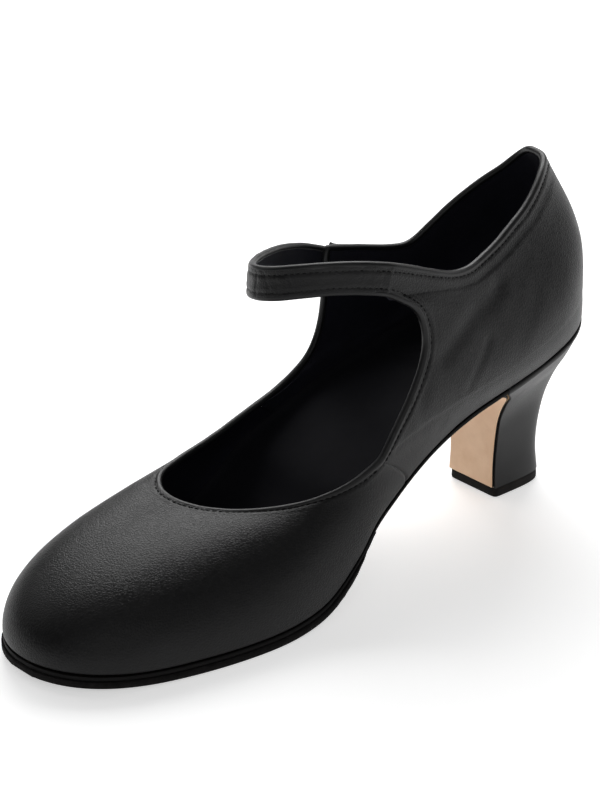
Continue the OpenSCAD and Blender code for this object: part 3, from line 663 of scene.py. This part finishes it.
# ---------- quarter pieces ----------
back_s = np.array([0, 0.002, 0.0045, 0.008, 0.013])
front_s = 1 - np.arange(0, 5.2, 0.27)[::-1] / 95
quarter_s = np.concatenate([back_s, np.linspace(0.02, front_s[0] - 0.008, 112), front_s])
# each fold: three places on the quarter as (s, v), its depth and its width in mm
FOLDS = [([(0.66, 0.78), (0.80, 0.685), (0.92, 0.52)], 0.70, 8.0),
         ([(0.76, 0.50), (0.765, 0.42), (0.775, 0.27)], 0.36, 4.2),
         ([(0.95, 0.40), (0.91, 0.28), (0.86, 0.13)], 0.30, 6.0),
         ([(0.55, 0.62), (0.60, 0.45), (0.62, 0.28)], 0.14, 7.0)]


def relaxed(base, sigma=3.0):
    """The patch's sideways coordinate blurred along each column over sigma mm, with its ends held."""
    far = np.concatenate([np.zeros((len(base), 1)), np.cumsum(length(np.diff(base, axis=1)), 1)], 1)
    total = far[:, -1:]
    chord = base[:, :1, 1] + (base[:, -1:, 1] - base[:, :1, 1]) * far / total
    bow = base[..., 1] - chord
    at = np.concatenate([-far[:, :0:-1], far, 2 * total - far[:, -2::-1]], 1)
    value = np.concatenate([-bow[:, :0:-1], bow, -bow[:, -2::-1]], 1)
    share = hill(far[:, :, None] - at[:, None], sigma * math.sqrt(2)) * np.gradient(at, axis=1)[:, None]
    y = chord + (share * value[:, None]).sum(-1) / share.sum(-1)
    return np.stack([base[..., 0], y, base[..., 2]], -1)


UNDER_EDGE = 1.3
STEADY_FROM = 4.5
STEADY_OVER = 4
NO_LIMIT = 200.0


def under_notch(base, out):
    """The outer quarter in front of the tab, held UNDER_EDGE below its notch, with steady normals there."""
    edge = edge_pt(-1, np.linspace(0.6, 0.2, 80))
    top = np.interp(base[..., 0], edge[:, 0], edge[:, 2] - UNDER_EDGE, left=NO_LIMIT)
    near = ease((base[..., 2] - top + STEADY_FROM) / STEADY_OVER)[..., None]
    held = np.concatenate([base[..., :2], np.minimum(base[..., 2], top)[..., None]], -1)
    return held, unit(out * (1 - near) + unit(np.array([0.08, -1.0, 0.05])) * near)


def front_trim(side, v):
    """Share of a row left out at the front, for the rolled edge of the notch."""
    closes = ease((0.9 - v) / 0.03) if side > 0 else 1.0
    return EDGE_GAP * ease((v - 0.19) / 0.03) * closes / notch_speed(side, v)


def folds(p, side):
    """Soft slanting folds where the waist of the quarter gives: bell-shaped valleys beside low ridges."""
    depth = np.zeros(p.shape[:2])
    for stations, deep, wide in FOLDS:
        at = track(list(zip((0, 0.5, 1), stations)), np.linspace(0, 1, 60))
        line = quarter_pt(side, at[:, 0], at[:, 1])
        d = nearest(p, line)
        depth += deep * (hill(d, wide * 0.5) - 0.5 * hill(d, wide))
    return depth


def counter(s, v):
    """Where the heel counter lies under the lining, 0 to 1."""
    return ease((0.66 - s) / 0.3) * ease((0.66 - (v - 0.004) / 0.956) / 0.3)


for side, name in ((1, "medial"), (-1, "lateral")):
    shape = lambda s, v, side=side: quarter_pt(side, s * (1 - front_trim(side, v)), v)
    grid_v, grid_rows = by_length(shape, quarter_s, EDGE_GAP, 56)
    base = relaxed(shape(quarter_s[:, None], grid_v))
    out = normals(base, -side)
    out[0] = unit(out[0] * (1, 0, 1))
    if side < 0:
        base, out = under_notch(base, out)
    uneven = 0.10 * ripple(base, 30, 5) + 0.03 * ripple(base, 9, 6)
    skin = base + out * (uneven - dents(base) - folds(base, side) * (1 if side > 0 else 0.5))[..., None]
    skin = tucked(skin, out, grid_rows, 0.8)
    skin[0, :, 1] = 0.02 * side
    solid = slab(skin, base - out * LEATHER)
    piece(f"quarter_{name}_leather", solid, "shoe", kid, [f"quarter_{name}"])
    pad = STIFF * counter(quarter_s[:, None], grid_v)
    inner = (base - out * (pad + LAY + FIT)[..., None])[step2]
    outer = (base - out * (pad + LEATHER + 2 * FIT)[..., None])[step2]
    piece(f"quarter_lining_{name}_skin", slab(outer, inner), "shoe", pigskin,
          [f"quarter_lining_{name}"])


# ---------- rolled edges and stitches ----------
def bead(r, i, j, last=False):
    """The rolled edge between two places on a rail: a squared oval over both leathers, its last end round."""
    part = slice(i, j)
    path = r["edge"][part] + r["into"][part] * BEAD_TALL - r["out"][part] * (LAY / 2 + 0.02)
    d = run(path)
    ends = np.sqrt(1 - (1 - np.clip((d[-1] - d) / 0.8, 0.05, 1)) ** 2) if last else 1.0
    size = (1 + 0.03 * ripple(path, 7, 8)) * ends
    profile = oval(16, BEAD_TALL, BEAD_WIDE, 2.2)[None] * size[:, None, None]
    return tube(path, r["into"][part], r["out"][part], profile)


def stitches(r, i, j):
    """A row of stitches along a rail's seam line: short rounded bars whose ends dip into the leather."""
    line, out = r["seam"][i:j], r["out"][i:j]
    d = run(line)
    at = np.arange(STITCH_PITCH / 2, d[-1] - STITCH_LONG / 2, STITCH_PITCH)
    mid, up, ahead = (np.stack([np.interp(at, d, c) for c in x.T], -1)
                      for x in (line, out, np.gradient(line, axis=0)))
    ahead, up = unit(ahead), unit(up)
    wide = np.cross(ahead, up)
    x = np.array([-1, -0.8, -0.3, 0.3, 0.8, 1.0])
    r_at = STITCH_R * np.array([0.35, 0.85, 1, 1, 0.85, 0.35])
    angle = np.arange(6) * np.pi / 3
    local = np.stack([np.broadcast_to(x[:, None] * STITCH_LONG / 2, (6, 6)), np.cos(angle) * r_at[:, None],
                      np.sin(angle) * r_at[:, None] - 0.10 - 0.22 * (x**4)[:, None]], -1).reshape(-1, 3)
    axes = np.stack([ahead, wide, up], 1)
    verts = (mid[:, None] + np.einsum("kc,scd->skd", local, axes)).reshape(-1, 3)
    k = np.arange(36).reshape(6, 6)
    nxt = np.roll(k, -1, 1)
    skin = np.stack([k[:-1], nxt[:-1], nxt[1:], k[1:]], -1).reshape(-1, 4)
    caps = [np.array([[q[0], q[1], q[2], q[3]], [q[0], q[3], q[4], q[5]]]) for q in (k[0], k[-1][::-1])]
    one = outward(local, np.concatenate([skin, *caps]))
    faces = (one[None] + 36 * np.arange(len(at))[:, None, None]).reshape(-1, 4)
    return verts, outward(verts, faces)


# two places at the strap's root; pieces given these in place of a body are baked where they stand and ride on
# no body
bend = (tuple(place([105.6, 29.3, 106.0])), tuple(place([105.6, 21.0, 106.0])))
notch_i, tab_i, _, root_i, _ = rail_top["marks"]
seam_i, throat_i, low_root, _ = rail_low["marks"]
top_end, low_end = len(rail_top["edge"]), len(rail_low["edge"])
for node, r, first, last, body in (
        ("notch_bead_lateral", rail_top, notch_i, tab_i + 1, "shoe"),
        ("collar_bead", rail_top, tab_i, root_i + 1, "shoe"),
        ("strap_bead_top", rail_top, root_i, top_end, bend),
        ("throat_bead", rail_low, seam_i, throat_i + 1, "shoe"),
        ("notch_bead_medial", rail_low, throat_i, low_root + 1, "shoe"),
        ("strap_bead_bottom", rail_low, low_root, low_end, bend)):
    piece(f"{node}_roll", bead(r, first, last, body is bend), body, rolled, [node])
for name, r, first, last, body in (
        ("collar_stitches", rail_top, tab_i + 12, root_i, "shoe"),
        ("notch_stitches_lateral", rail_top, notch_i + 2, tab_i - 8, "shoe"),
        ("strap_stitches_top", rail_top, root_i, top_end, bend),
        ("throat_stitches", rail_low, seam_i + 2, throat_i - 2, "shoe"),
        ("notch_stitches", rail_low, throat_i + 2, low_root, "shoe"),
        ("strap_stitches_bottom", rail_low, low_root, low_end, bend)):
    piece(name, stitches(r, first, last), body, thread)

# ---------- strap ----------
strap_t = np.linspace(0, 1, 460)
w_edge = EDGE_GAP / STRAP_W
strap_w = w_edge + (1 - 2 * w_edge) * np.linspace(0, 1, 44)
strap_base = strap_pt(strap_t[:, None], strap_w[None])
strap_n = np.broadcast_to(strap_out(strap_t)[:, None], strap_base.shape)
far_along = strap_t[:, None] * STRAP_LEN
CREASE_COUNT = 26
creases = np.zeros(strap_base.shape[:2])
for centre, slant, deep, low_side in zip(
        random.uniform(2, 70, CREASE_COUNT), random.normal(0, 1.6, CREASE_COUNT),
        random.uniform(0.05, 0.17, CREASE_COUNT), random.uniform(0, 1, CREASE_COUNT)):
    bent = far_along - centre - slant * (strap_w[None] - 0.5)
    creases += deep * hill(bent, 0.45) * hill(strap_w[None] - low_side, 0.32)
root_crease = 0.07 * hill(far_along - 2.4, 0.6)
crown = 0.22 * (1 - (2 * strap_w[None] - 1) ** 2) * ease(far_along / 7)
uneven = 0.10 * ripple(strap_base, 9, 9) + 0.03 * ripple(strap_base, 3, 10)
relief = crown + uneven - creases - root_crease - dents(strap_base)
strap_skin = strap_base + strap_n * relief[..., None]
piece("strap_leather", slab(strap_skin, strap_base - strap_n * LEATHER), bend, kid,
      ["strap"])
strap_inner = (strap_base - strap_n * (LAY + FIT))[::2]
strap_outer = (strap_base - strap_n * (LEATHER + 2 * FIT))[::2]
piece("strap_lining_skin", slab(strap_outer, strap_inner), bend, pigskin, ["strap_lining"])

# ---------- sole ----------
def outline_half(x, side, out):
    """Half width of an outline that stands out from the last's own, worked out along its normal."""
    k = np.arccos(np.clip(1 - np.clip(x, 0, SHOE) / HALF, -1, 1))
    x1 = np.clip(x + np.cos(k) * out, 0.04, SHOE - 0.04)
    k1 = np.arccos(np.clip(1 - x1 / HALF, -1, 1))
    return half_w(x1, side) + np.sin(k1) * out


def layer(x0, x1, out, dz, across=29, steps=230, cuts=None):
    """Rows across the bottom between x0 and x1; out may be a function of x, dz is the height off the seat."""
    k0, k1 = (math.acos(max(-1, min(1, 1 - x / HALF))) for x in (x0, x1))
    x = HALF * (1 - np.cos(np.linspace(k0, k1, steps)))
    x[0], x[-1] = x0, x1
    c = 0.5 * (1 - np.cos(np.linspace(0, np.pi, across))) if cuts is None else cuts
    wide = out(x) if callable(out) else out
    m, l = outline_half(x, 1, wide), outline_half(x, -1, wide)
    y = -l[:, None] * (1 - c) + m[:, None] * c
    z = seat(np.clip(x, 0, SHOE))[:, None] + dz
    return np.stack([np.broadcast_to(x[:, None], y.shape), y, np.broadcast_to(z, y.shape)], -1)


def eased_plate(x0, x1, out, z0, z1, radius):
    """A layer of the bottom with its edge rounded, top and bottom, by a quarter circle."""
    top, low = layer(x0, x1, out, z1), layer(x0, x1, out, z0)
    rim = np.concatenate([top[:, 0], top[-1], top[::-1, -1], top[0, ::-1]])
    k = 1 - np.clip(nearest(top * (1, 1, 0), rim * (1, 1, 0)) / radius, 0, 1)
    drop = radius * (1 - np.sqrt(1 - k**2)) * 0.8
    top[..., 2] -= drop
    low[..., 2] += drop
    return top, low


sole_top, sole_low = eased_plate(0.15, SHOE - 0.15, 0.0, Z_SOLE, -SINK, 0.45)
piece("full_sole_bend", slab(sole_top, sole_low), "shoe", inked, ["full_sole"])
TREAD_X = HALF
tread_top, tread_low = eased_plate(TREAD_X, SHOE + WELT - 0.15, lambda x: WELT * ease((x - TREAD_X) / 14),
                                   Z_SOLE - FIT - TREAD_T, Z_SOLE - FIT, 0.5)
thin = 1 - np.maximum(0.15, ease((tread_top[:, :1, 0] - TREAD_X) / 12))
tread_low[..., 2] += TREAD_T * thin
nap = 0.10 * ripple(tread_top, 1.9, 12)
for grid in (tread_top, tread_low):
    grid[:, 0, 1] += nap[:, 0]
    grid[:, -1, 1] += nap[:, -1]
floor_z = cad_low.z / MM
tread_low[..., 2] = np.maximum(tread_low[..., 2], floor_z + 0.02)
piece("tread_suede_nap", slab(tread_top, tread_low), "shoe", suede, ["tread_sole"])


def tight(x):
    """How far the inner layers keep in from the outline: past the lining, the counter and the puff."""
    return -(LAY + 0.45 + (STIFF + 0.2) * np.maximum(ease((62 - x) / 12), ease((x - 188) / 12)))


in_lo = LAY + 0.45 + STIFF + 0.4
sock_lo = layer(in_lo, SHOE - in_lo, lambda x: tight(x) + 0.3, 0.0, 37)
pad_up = 1.6 * ease((66 - sock_lo[..., 0]) / 10)
rim = np.concatenate([sock_lo[:, 0], sock_lo[-1], sock_lo[::-1, -1], sock_lo[0, ::-1]])
curl = 1.1 * hill(nearest(sock_lo * (1, 1, 0), rim * (1, 1, 0)), 1.6)
sock_low = sock_lo + np.stack([np.zeros_like(curl), np.zeros_like(curl), Z_SOCK + 0.14 + pad_up + curl], -1)
sock_high = sock_low + np.array([0, 0, 0.8])
sock_high[..., 2] += 0.05 * ripple(sock_high, 22, 14)
piece("sock_liner_skin", slab(sock_high, sock_low), "shoe", sock_cloth, ["sock_liner"])
pad_low = layer(in_lo, 58.25, tight, Z_SOCK, 25, 80)
pad_high = pad_low + np.array([0, 0, 0.02])
pad_high[..., 2] += 0.04 + 1.5 * ease((66 - pad_low[..., 0]) / 10) * 0.98
heel_pad = piece("heel_pad_foam", slab(pad_high, pad_low), "shoe", foam, ["heel_pad"])

# ---------- heel ----------
HEEL_BACK = [(0, 12.3), (0.17, 13.4), (0.35, 13.2), (0.52, 11.4), (0.70, 7.6), (0.85, 3.4), (1, 0.3)]
HEEL_SEAT = 27
HEEL_ROUND = 0.31
HEEL_HALF = [(0, 11.2), (0.2, 10.8), (0.4, 11.6), (0.58, 13.6), (0.75, 18), (0.88, 23),
             (1, HEEL_SEAT)]
HEEL_FRONT = [(0, 38.2), (0.34, 38.4), (0.61, 39.8), (0.83, 43), (1, 50)]


def heel_pt(th, h):
    """Heel skin: th from the inner breast edge (0) round the back (90) to the outer one (180), h upwards.

    HEEL_ROUND sets how bluntly the back rounds. Towards the top the width turns into the last's own."""
    th, h = np.broadcast_arrays(np.asarray(th, float), np.asarray(h, float))
    back, wide, front = track(HEEL_BACK, h), track(HEEL_HALF, h), track(HEEL_FRONT, h)
    sine, cosine = np.sin(np.radians(th)), np.cos(np.radians(th))
    x = back * sine + front * (1 - sine)
    y = wide * np.sqrt(np.maximum(0, 1 - np.exp(-(x - back) / (HEEL_ROUND * wide))))
    full = HEEL_SEAT * np.sqrt(np.maximum(1e-9, 1 - np.exp(-(x - back) / (HEEL_ROUND * HEEL_SEAT))))
    y = y * (1 + (half_w(np.maximum(x - back, 0), cosine) / full - 1) * ease((h - 0.3) / 0.7))
    y = np.where(np.abs(cosine) < 1e-4, 0, y * np.sign(cosine)) - 1.2 * (1 - h)
    low = LIFT_T + FIT + 0.15
    return np.stack([x, y, low * (1 - h) + (seat(np.clip(x, 0, 60)) + Z_SOLE - 0.3) * h], -1)


heel_th = 90 - 90 * np.cos(np.linspace(0, np.pi, 170))
heel_h = np.linspace(0, 1, 84)
heel_grid = heel_pt(heel_th[:, None], heel_h[None])
across_breast = unit(heel_grid[-1] - heel_grid[0])
ahead_breast = unit(np.cross(across_breast, np.gradient(heel_grid[0], axis=0)))
ahead_breast *= np.sign(ahead_breast[:, :1])
WRAP = [(2.2, -0.5), (1.3, -0.2), (0.6, 0.05), (0.18, 0.1)]
inner_wrap = [heel_grid[0] + across_breast * u + ahead_breast * f for u, f in WRAP]
outer_wrap = [heel_grid[-1] - across_breast * u + ahead_breast * f for u, f in WRAP[::-1]]
heel_skin = np.concatenate([np.stack(inner_wrap), heel_grid, np.stack(outer_wrap)])
heel_n = normals(heel_skin, 1)
if heel_n[len(heel_skin) // 2, 40, 0] > 0:
    heel_n = -heel_n
# rows that turn the cover in over the seat, as (up, inwards) in mm
RIM = [(0.7, -0.08), (1.35, -0.05), (1.75, 0.2), (1.9, 0.9)]
rim_rows = [heel_skin[:, -1] + np.array([0, 0, 1.0]) * up - heel_n[:, -1] * (1, 1, 0) * inwards
            for up, inwards in RIM]
heel_skin = np.concatenate([heel_skin, np.stack(rim_rows, 1)], 1)
heel_n = np.concatenate([heel_n, np.repeat(heel_n[:, -1:], len(RIM), 1)], 1)
heel_inner = heel_skin - heel_n * 0.75
heel_out = heel_skin + heel_n * (0.05 * ripple(heel_skin, 16, 21))[..., None]
piece("heel_cover_leather", slab(heel_out, heel_inner), "shoe", stretched, ["heel_cover"])

# heel block: the cover's shape less its thickness, closed by the breast's flat
share = 0.5 - 0.5 * np.cos(np.linspace(0, np.pi, len(heel_grid)))[:, None, None]
block_n = normals(heel_grid, 1)
block_n *= np.sign(-block_n[len(heel_grid) // 2, 40, 0])
block_out = heel_grid - block_n * 0.85
breast = heel_grid[0] * (1 - share) + heel_grid[-1] * share
breast = breast - ahead_breast * 0.1
block_out[0], block_out[-1] = breast[0] + across_breast * 0.9, breast[-1] - across_breast * 0.9
breast = breast + (breast.mean(0) - breast) * 0.09
piece("heel_block_core", slab(block_out, breast), "shoe", plastic, ["heel_block"])

# breast flap: the split end of the sole turned down the breast, tan on its face and inked on its edges
flap_h = np.concatenate([np.linspace(0.012, 0.93, 70), [0.95, 0.97]])
flap_in, flap_ex = heel_pt(0.0, flap_h), heel_pt(180.0, flap_h)
tail_x = np.array([52.5, 56, 60])
tail = np.stack([tail_x, tail_x * 0, seat(tail_x) + Z_SOLE - 0.3], -1)
flap_in = np.concatenate([flap_in, tail + np.array([0, 25.6, 0])])
flap_ex = np.concatenate([flap_ex, tail - np.array([0, 25.9, 0])])


def even(line, count):
    """A line resampled at even distances."""
    d = run(line)
    return np.stack([np.interp(np.linspace(0, d[-1], count), d, c) for c in line.T], -1)


FLAP_ROWS = 120
flap_in, flap_ex = even(flap_in, FLAP_ROWS), even(flap_ex, FLAP_ROWS)
flap_in, flap_ex = (blurred(f, hill(np.arange(-14, 15), 7.0)) for f in (flap_in, flap_ex))
flap_c = 0.5 * (1 - np.cos(np.linspace(0, np.pi, 41)))
flap_base = flap_in[:, None] * (1 - flap_c[:, None]) + flap_ex[:, None] * flap_c[:, None]
flap_n = normals(flap_base, 1)
flap_n *= np.sign(flap_n[20, 20, 0])
inset = 0.03
flap_base = flap_base * (1 - 2 * inset) + flap_base.mean(1, keepdims=True) * 2 * inset
from_rim = np.minimum(flap_c, 1 - flap_c)[None] * length(flap_ex - flap_in)[:, None]
k = 1 - np.clip(from_rim / 0.4, 0, 1)
thick = 1.15 - 0.25 * (1 - np.sqrt(1 - k**2))
flap_face = flap_base + flap_n * (thick + 0.03 * ripple(flap_base, 8, 23))[..., None]
flap_obj = piece("breast_flap_tan", slab(flap_face, flap_base + flap_n * 0.05), "shoe", tan,
                 ["breast_flap"])
flap_obj.data.materials.append(inked)
centres = np.zeros(len(flap_obj.data.polygons) * 3)
flap_obj.data.polygons.foreach_get("center", centres)
quads = (FLAP_ROWS - 1) * (len(flap_c) - 1)
flap_obj.data.polygons.foreach_set("material_index", (np.arange(len(centres) // 3) >= quads).astype(np.int32))

# top piece: a moulded lift with a sanded, slightly bellied edge
lift_ex, lift_in = heel_pt(180.0, 0.0), heel_pt(0.0, 0.0)
lift_front = lift_ex + (lift_in - lift_ex) * np.linspace(0, 1, 24)[1:-1, None]
lift_rim = np.concatenate([heel_pt(heel_th, 0.0), lift_front])
lift_rim = np.concatenate([lift_rim, lift_rim[:1]])
LIFT_STEPS = 240
lift_far = run(lift_rim)
lift_at = np.linspace(0, lift_far[-1], LIFT_STEPS + 1)[:-1]
lift_rim = np.stack([np.interp(lift_at, lift_far, c) for c in lift_rim.T], -1)
corner = hill(np.arange(-12, 13), 5.0)
lift_rim = np.stack([np.convolve(np.tile(c, 3), corner / corner.sum(), "same")[LIFT_STEPS:2 * LIFT_STEPS]
                     for c in lift_rim.T], -1)
lift_mid = lift_rim.mean(0)
lift_mid[2] = 0
# rings up the lift, as (height in mm, size)
LIFT = [(0.0, 0.96), (0.02, 0.975), (0.28, 0.998), (0.9, 1.004), (2.2, 1.0), (3.2, 0.996), (3.5, 0.985),
        (3.52, 0.95)]
rings = np.stack([lift_mid + (lift_rim * (1, 1, 0) - lift_mid) * size + np.array([0, 0, z])
                  for z, size in LIFT])
count = rings.shape[1]
k = np.arange(rings.shape[0] * count).reshape(-1, count)
nxt = np.roll(k, -1, 1)
lift_faces = np.stack([k[:-1], nxt[:-1], nxt[1:], k[1:]], -1).reshape(-1, 4)
lift_verts = rings.reshape(-1, 3)
fan = len(lift_verts)
lift_verts = np.concatenate([lift_verts, [lift_mid, lift_mid + (0, 0, LIFT[-1][0])]])
lift_faces = outward(lift_verts, lift_faces).tolist()
turn = lift_faces[0][0] == k[0, 0]
lift_faces += [[fan, k[0, i], k[0, (i + 1) % count]][::1 if not turn else -1] for i in range(count)]
lift_faces += [[fan + 1, k[-1, i], k[-1, (i + 1) % count]][::-1 if not turn else 1] for i in range(count)]
piece("top_piece_lift", (lift_verts, lift_faces), "shoe", rubber, ["top_piece"])

# ---------- buckle ----------
for node, material in (("buckle_frame", nickel), ("buckle_hook", nickel), ("buckle_prong", nickel),
                       ("catch_ring", nickel), ("toe_puff", canvas), ("heel_counter", canvas),
                       ("insole_board", fibre), ("bottom_filler", cork), ("shank_board", fibre),
                       ("shank", spring), ("shank_rivets", spring),
                       ("top_piece_pin", spring), ("heel_screw", spring), ("heel_nails", spring),
                       ("elastic_loop", elastic)):
    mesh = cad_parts[node].data
    mesh.materials.clear()
    mesh.materials.append(material)

# ---------- floor, light and camera ----------
# opal acrylic table lit from below, so that shadows stay light
floor_mat = surface("opal_acrylic_table", "#f4f4f4", "#f7f7f7", (0.85, 0.95), 900, [("grain", 3.0, 0.01)],
                    Emission_Color=(1, 1, 1, 1), Emission_Strength=0.53)
floor_mesh = bpy.data.meshes.new("floor")
FLOOR = 6.0
ground = cad_low.z
floor_mesh.from_pydata([(-FLOOR, -FLOOR, ground), (FLOOR, -FLOOR, ground), (FLOOR, FLOOR, ground),
                        (-FLOOR, FLOOR, ground)], [], [(0, 1, 2, 3)])
floor_mesh.materials.append(floor_mat)
floor = bpy.data.objects.new("floor", floor_mesh)
bpy.context.scene.collection.objects.link(floor)


def softbox(name, place_at, aim, size, power):
    """A square area light pointing from one place to another."""
    light = bpy.data.lights.new(name, "AREA")
    light.shape = "RECTANGLE"
    light.size, light.size_y = size
    light.energy = power
    obj = bpy.data.objects.new(name, light)
    obj.location = place_at
    away = np.array(aim) - np.array(place_at)
    obj.rotation_mode = "QUATERNION"
    obj.rotation_quaternion = Vector(away).to_track_quat("-Z", "Y")
    bpy.context.scene.collection.objects.link(obj)


softbox("key_behind", (-0.6, -0.7, 0.85), (0, 0, 0.04), (0.9, 0.9), 12.5)
softbox("outer_side", (0.35, -0.95, 0.85), (0, 0, 0.04), (0.9, 0.9), 2.8)
softbox("overhead", (0, 0, 1.3), (0, 0, 0.04), (1.0, 1.0), 0.7)
softbox("viewer_side", (0.85, 0.95, 0.9), (0, 0, 0.04), (0.9, 0.9), 3.2)
softbox("heel_side", (-1.3, 0.1, 0.6), (0, 0, 0.04), (1.0, 0.8), 3.6)
softbox("inner_side", (0, 1.3, 0.6), (0, 0, 0.04), (1.0, 0.8), 1.4)
world = bpy.data.worlds.new("studio")
world.use_nodes = True
tree = world.node_tree
tree.nodes.clear()
seen = add(tree, "LightPath").outputs["Is Camera Ray"]
glow = add(tree, "MapRange", Value=seen, To_Min=0.02, To_Max=1.0)
air = add(tree, "Background", Color=(1, 1, 1, 1), Strength=glow.outputs["Result"])
add(tree, "OutputWorld", Surface=air.outputs["Background"])
bpy.context.scene.world = world
bpy.context.scene.view_settings.view_transform = "Standard"

VIEW_AZIMUTH = math.radians(138.4)
VIEW_ELEVATION = math.radians(25.3)
VIEW_AIM = np.array([-0.00985, -0.0139, 0.050])
VIEW_FAR = 1.0
back = np.array([math.sin(VIEW_AZIMUTH) * math.cos(VIEW_ELEVATION),
                 -math.cos(VIEW_AZIMUTH) * math.cos(VIEW_ELEVATION), math.sin(VIEW_ELEVATION)])
lens = bpy.data.cameras.new("camera")
lens.lens = 137.0
lens.sensor_width = 36.0
lens.clip_start = 0.05
camera = bpy.data.objects.new("camera", lens)
camera.location = VIEW_AIM + back * VIEW_FAR
camera.rotation_mode = "QUATERNION"
camera.rotation_quaternion = Vector(-back).to_track_quat("-Z", "Y")
bpy.context.scene.collection.objects.link(camera)
bpy.context.scene.camera = camera
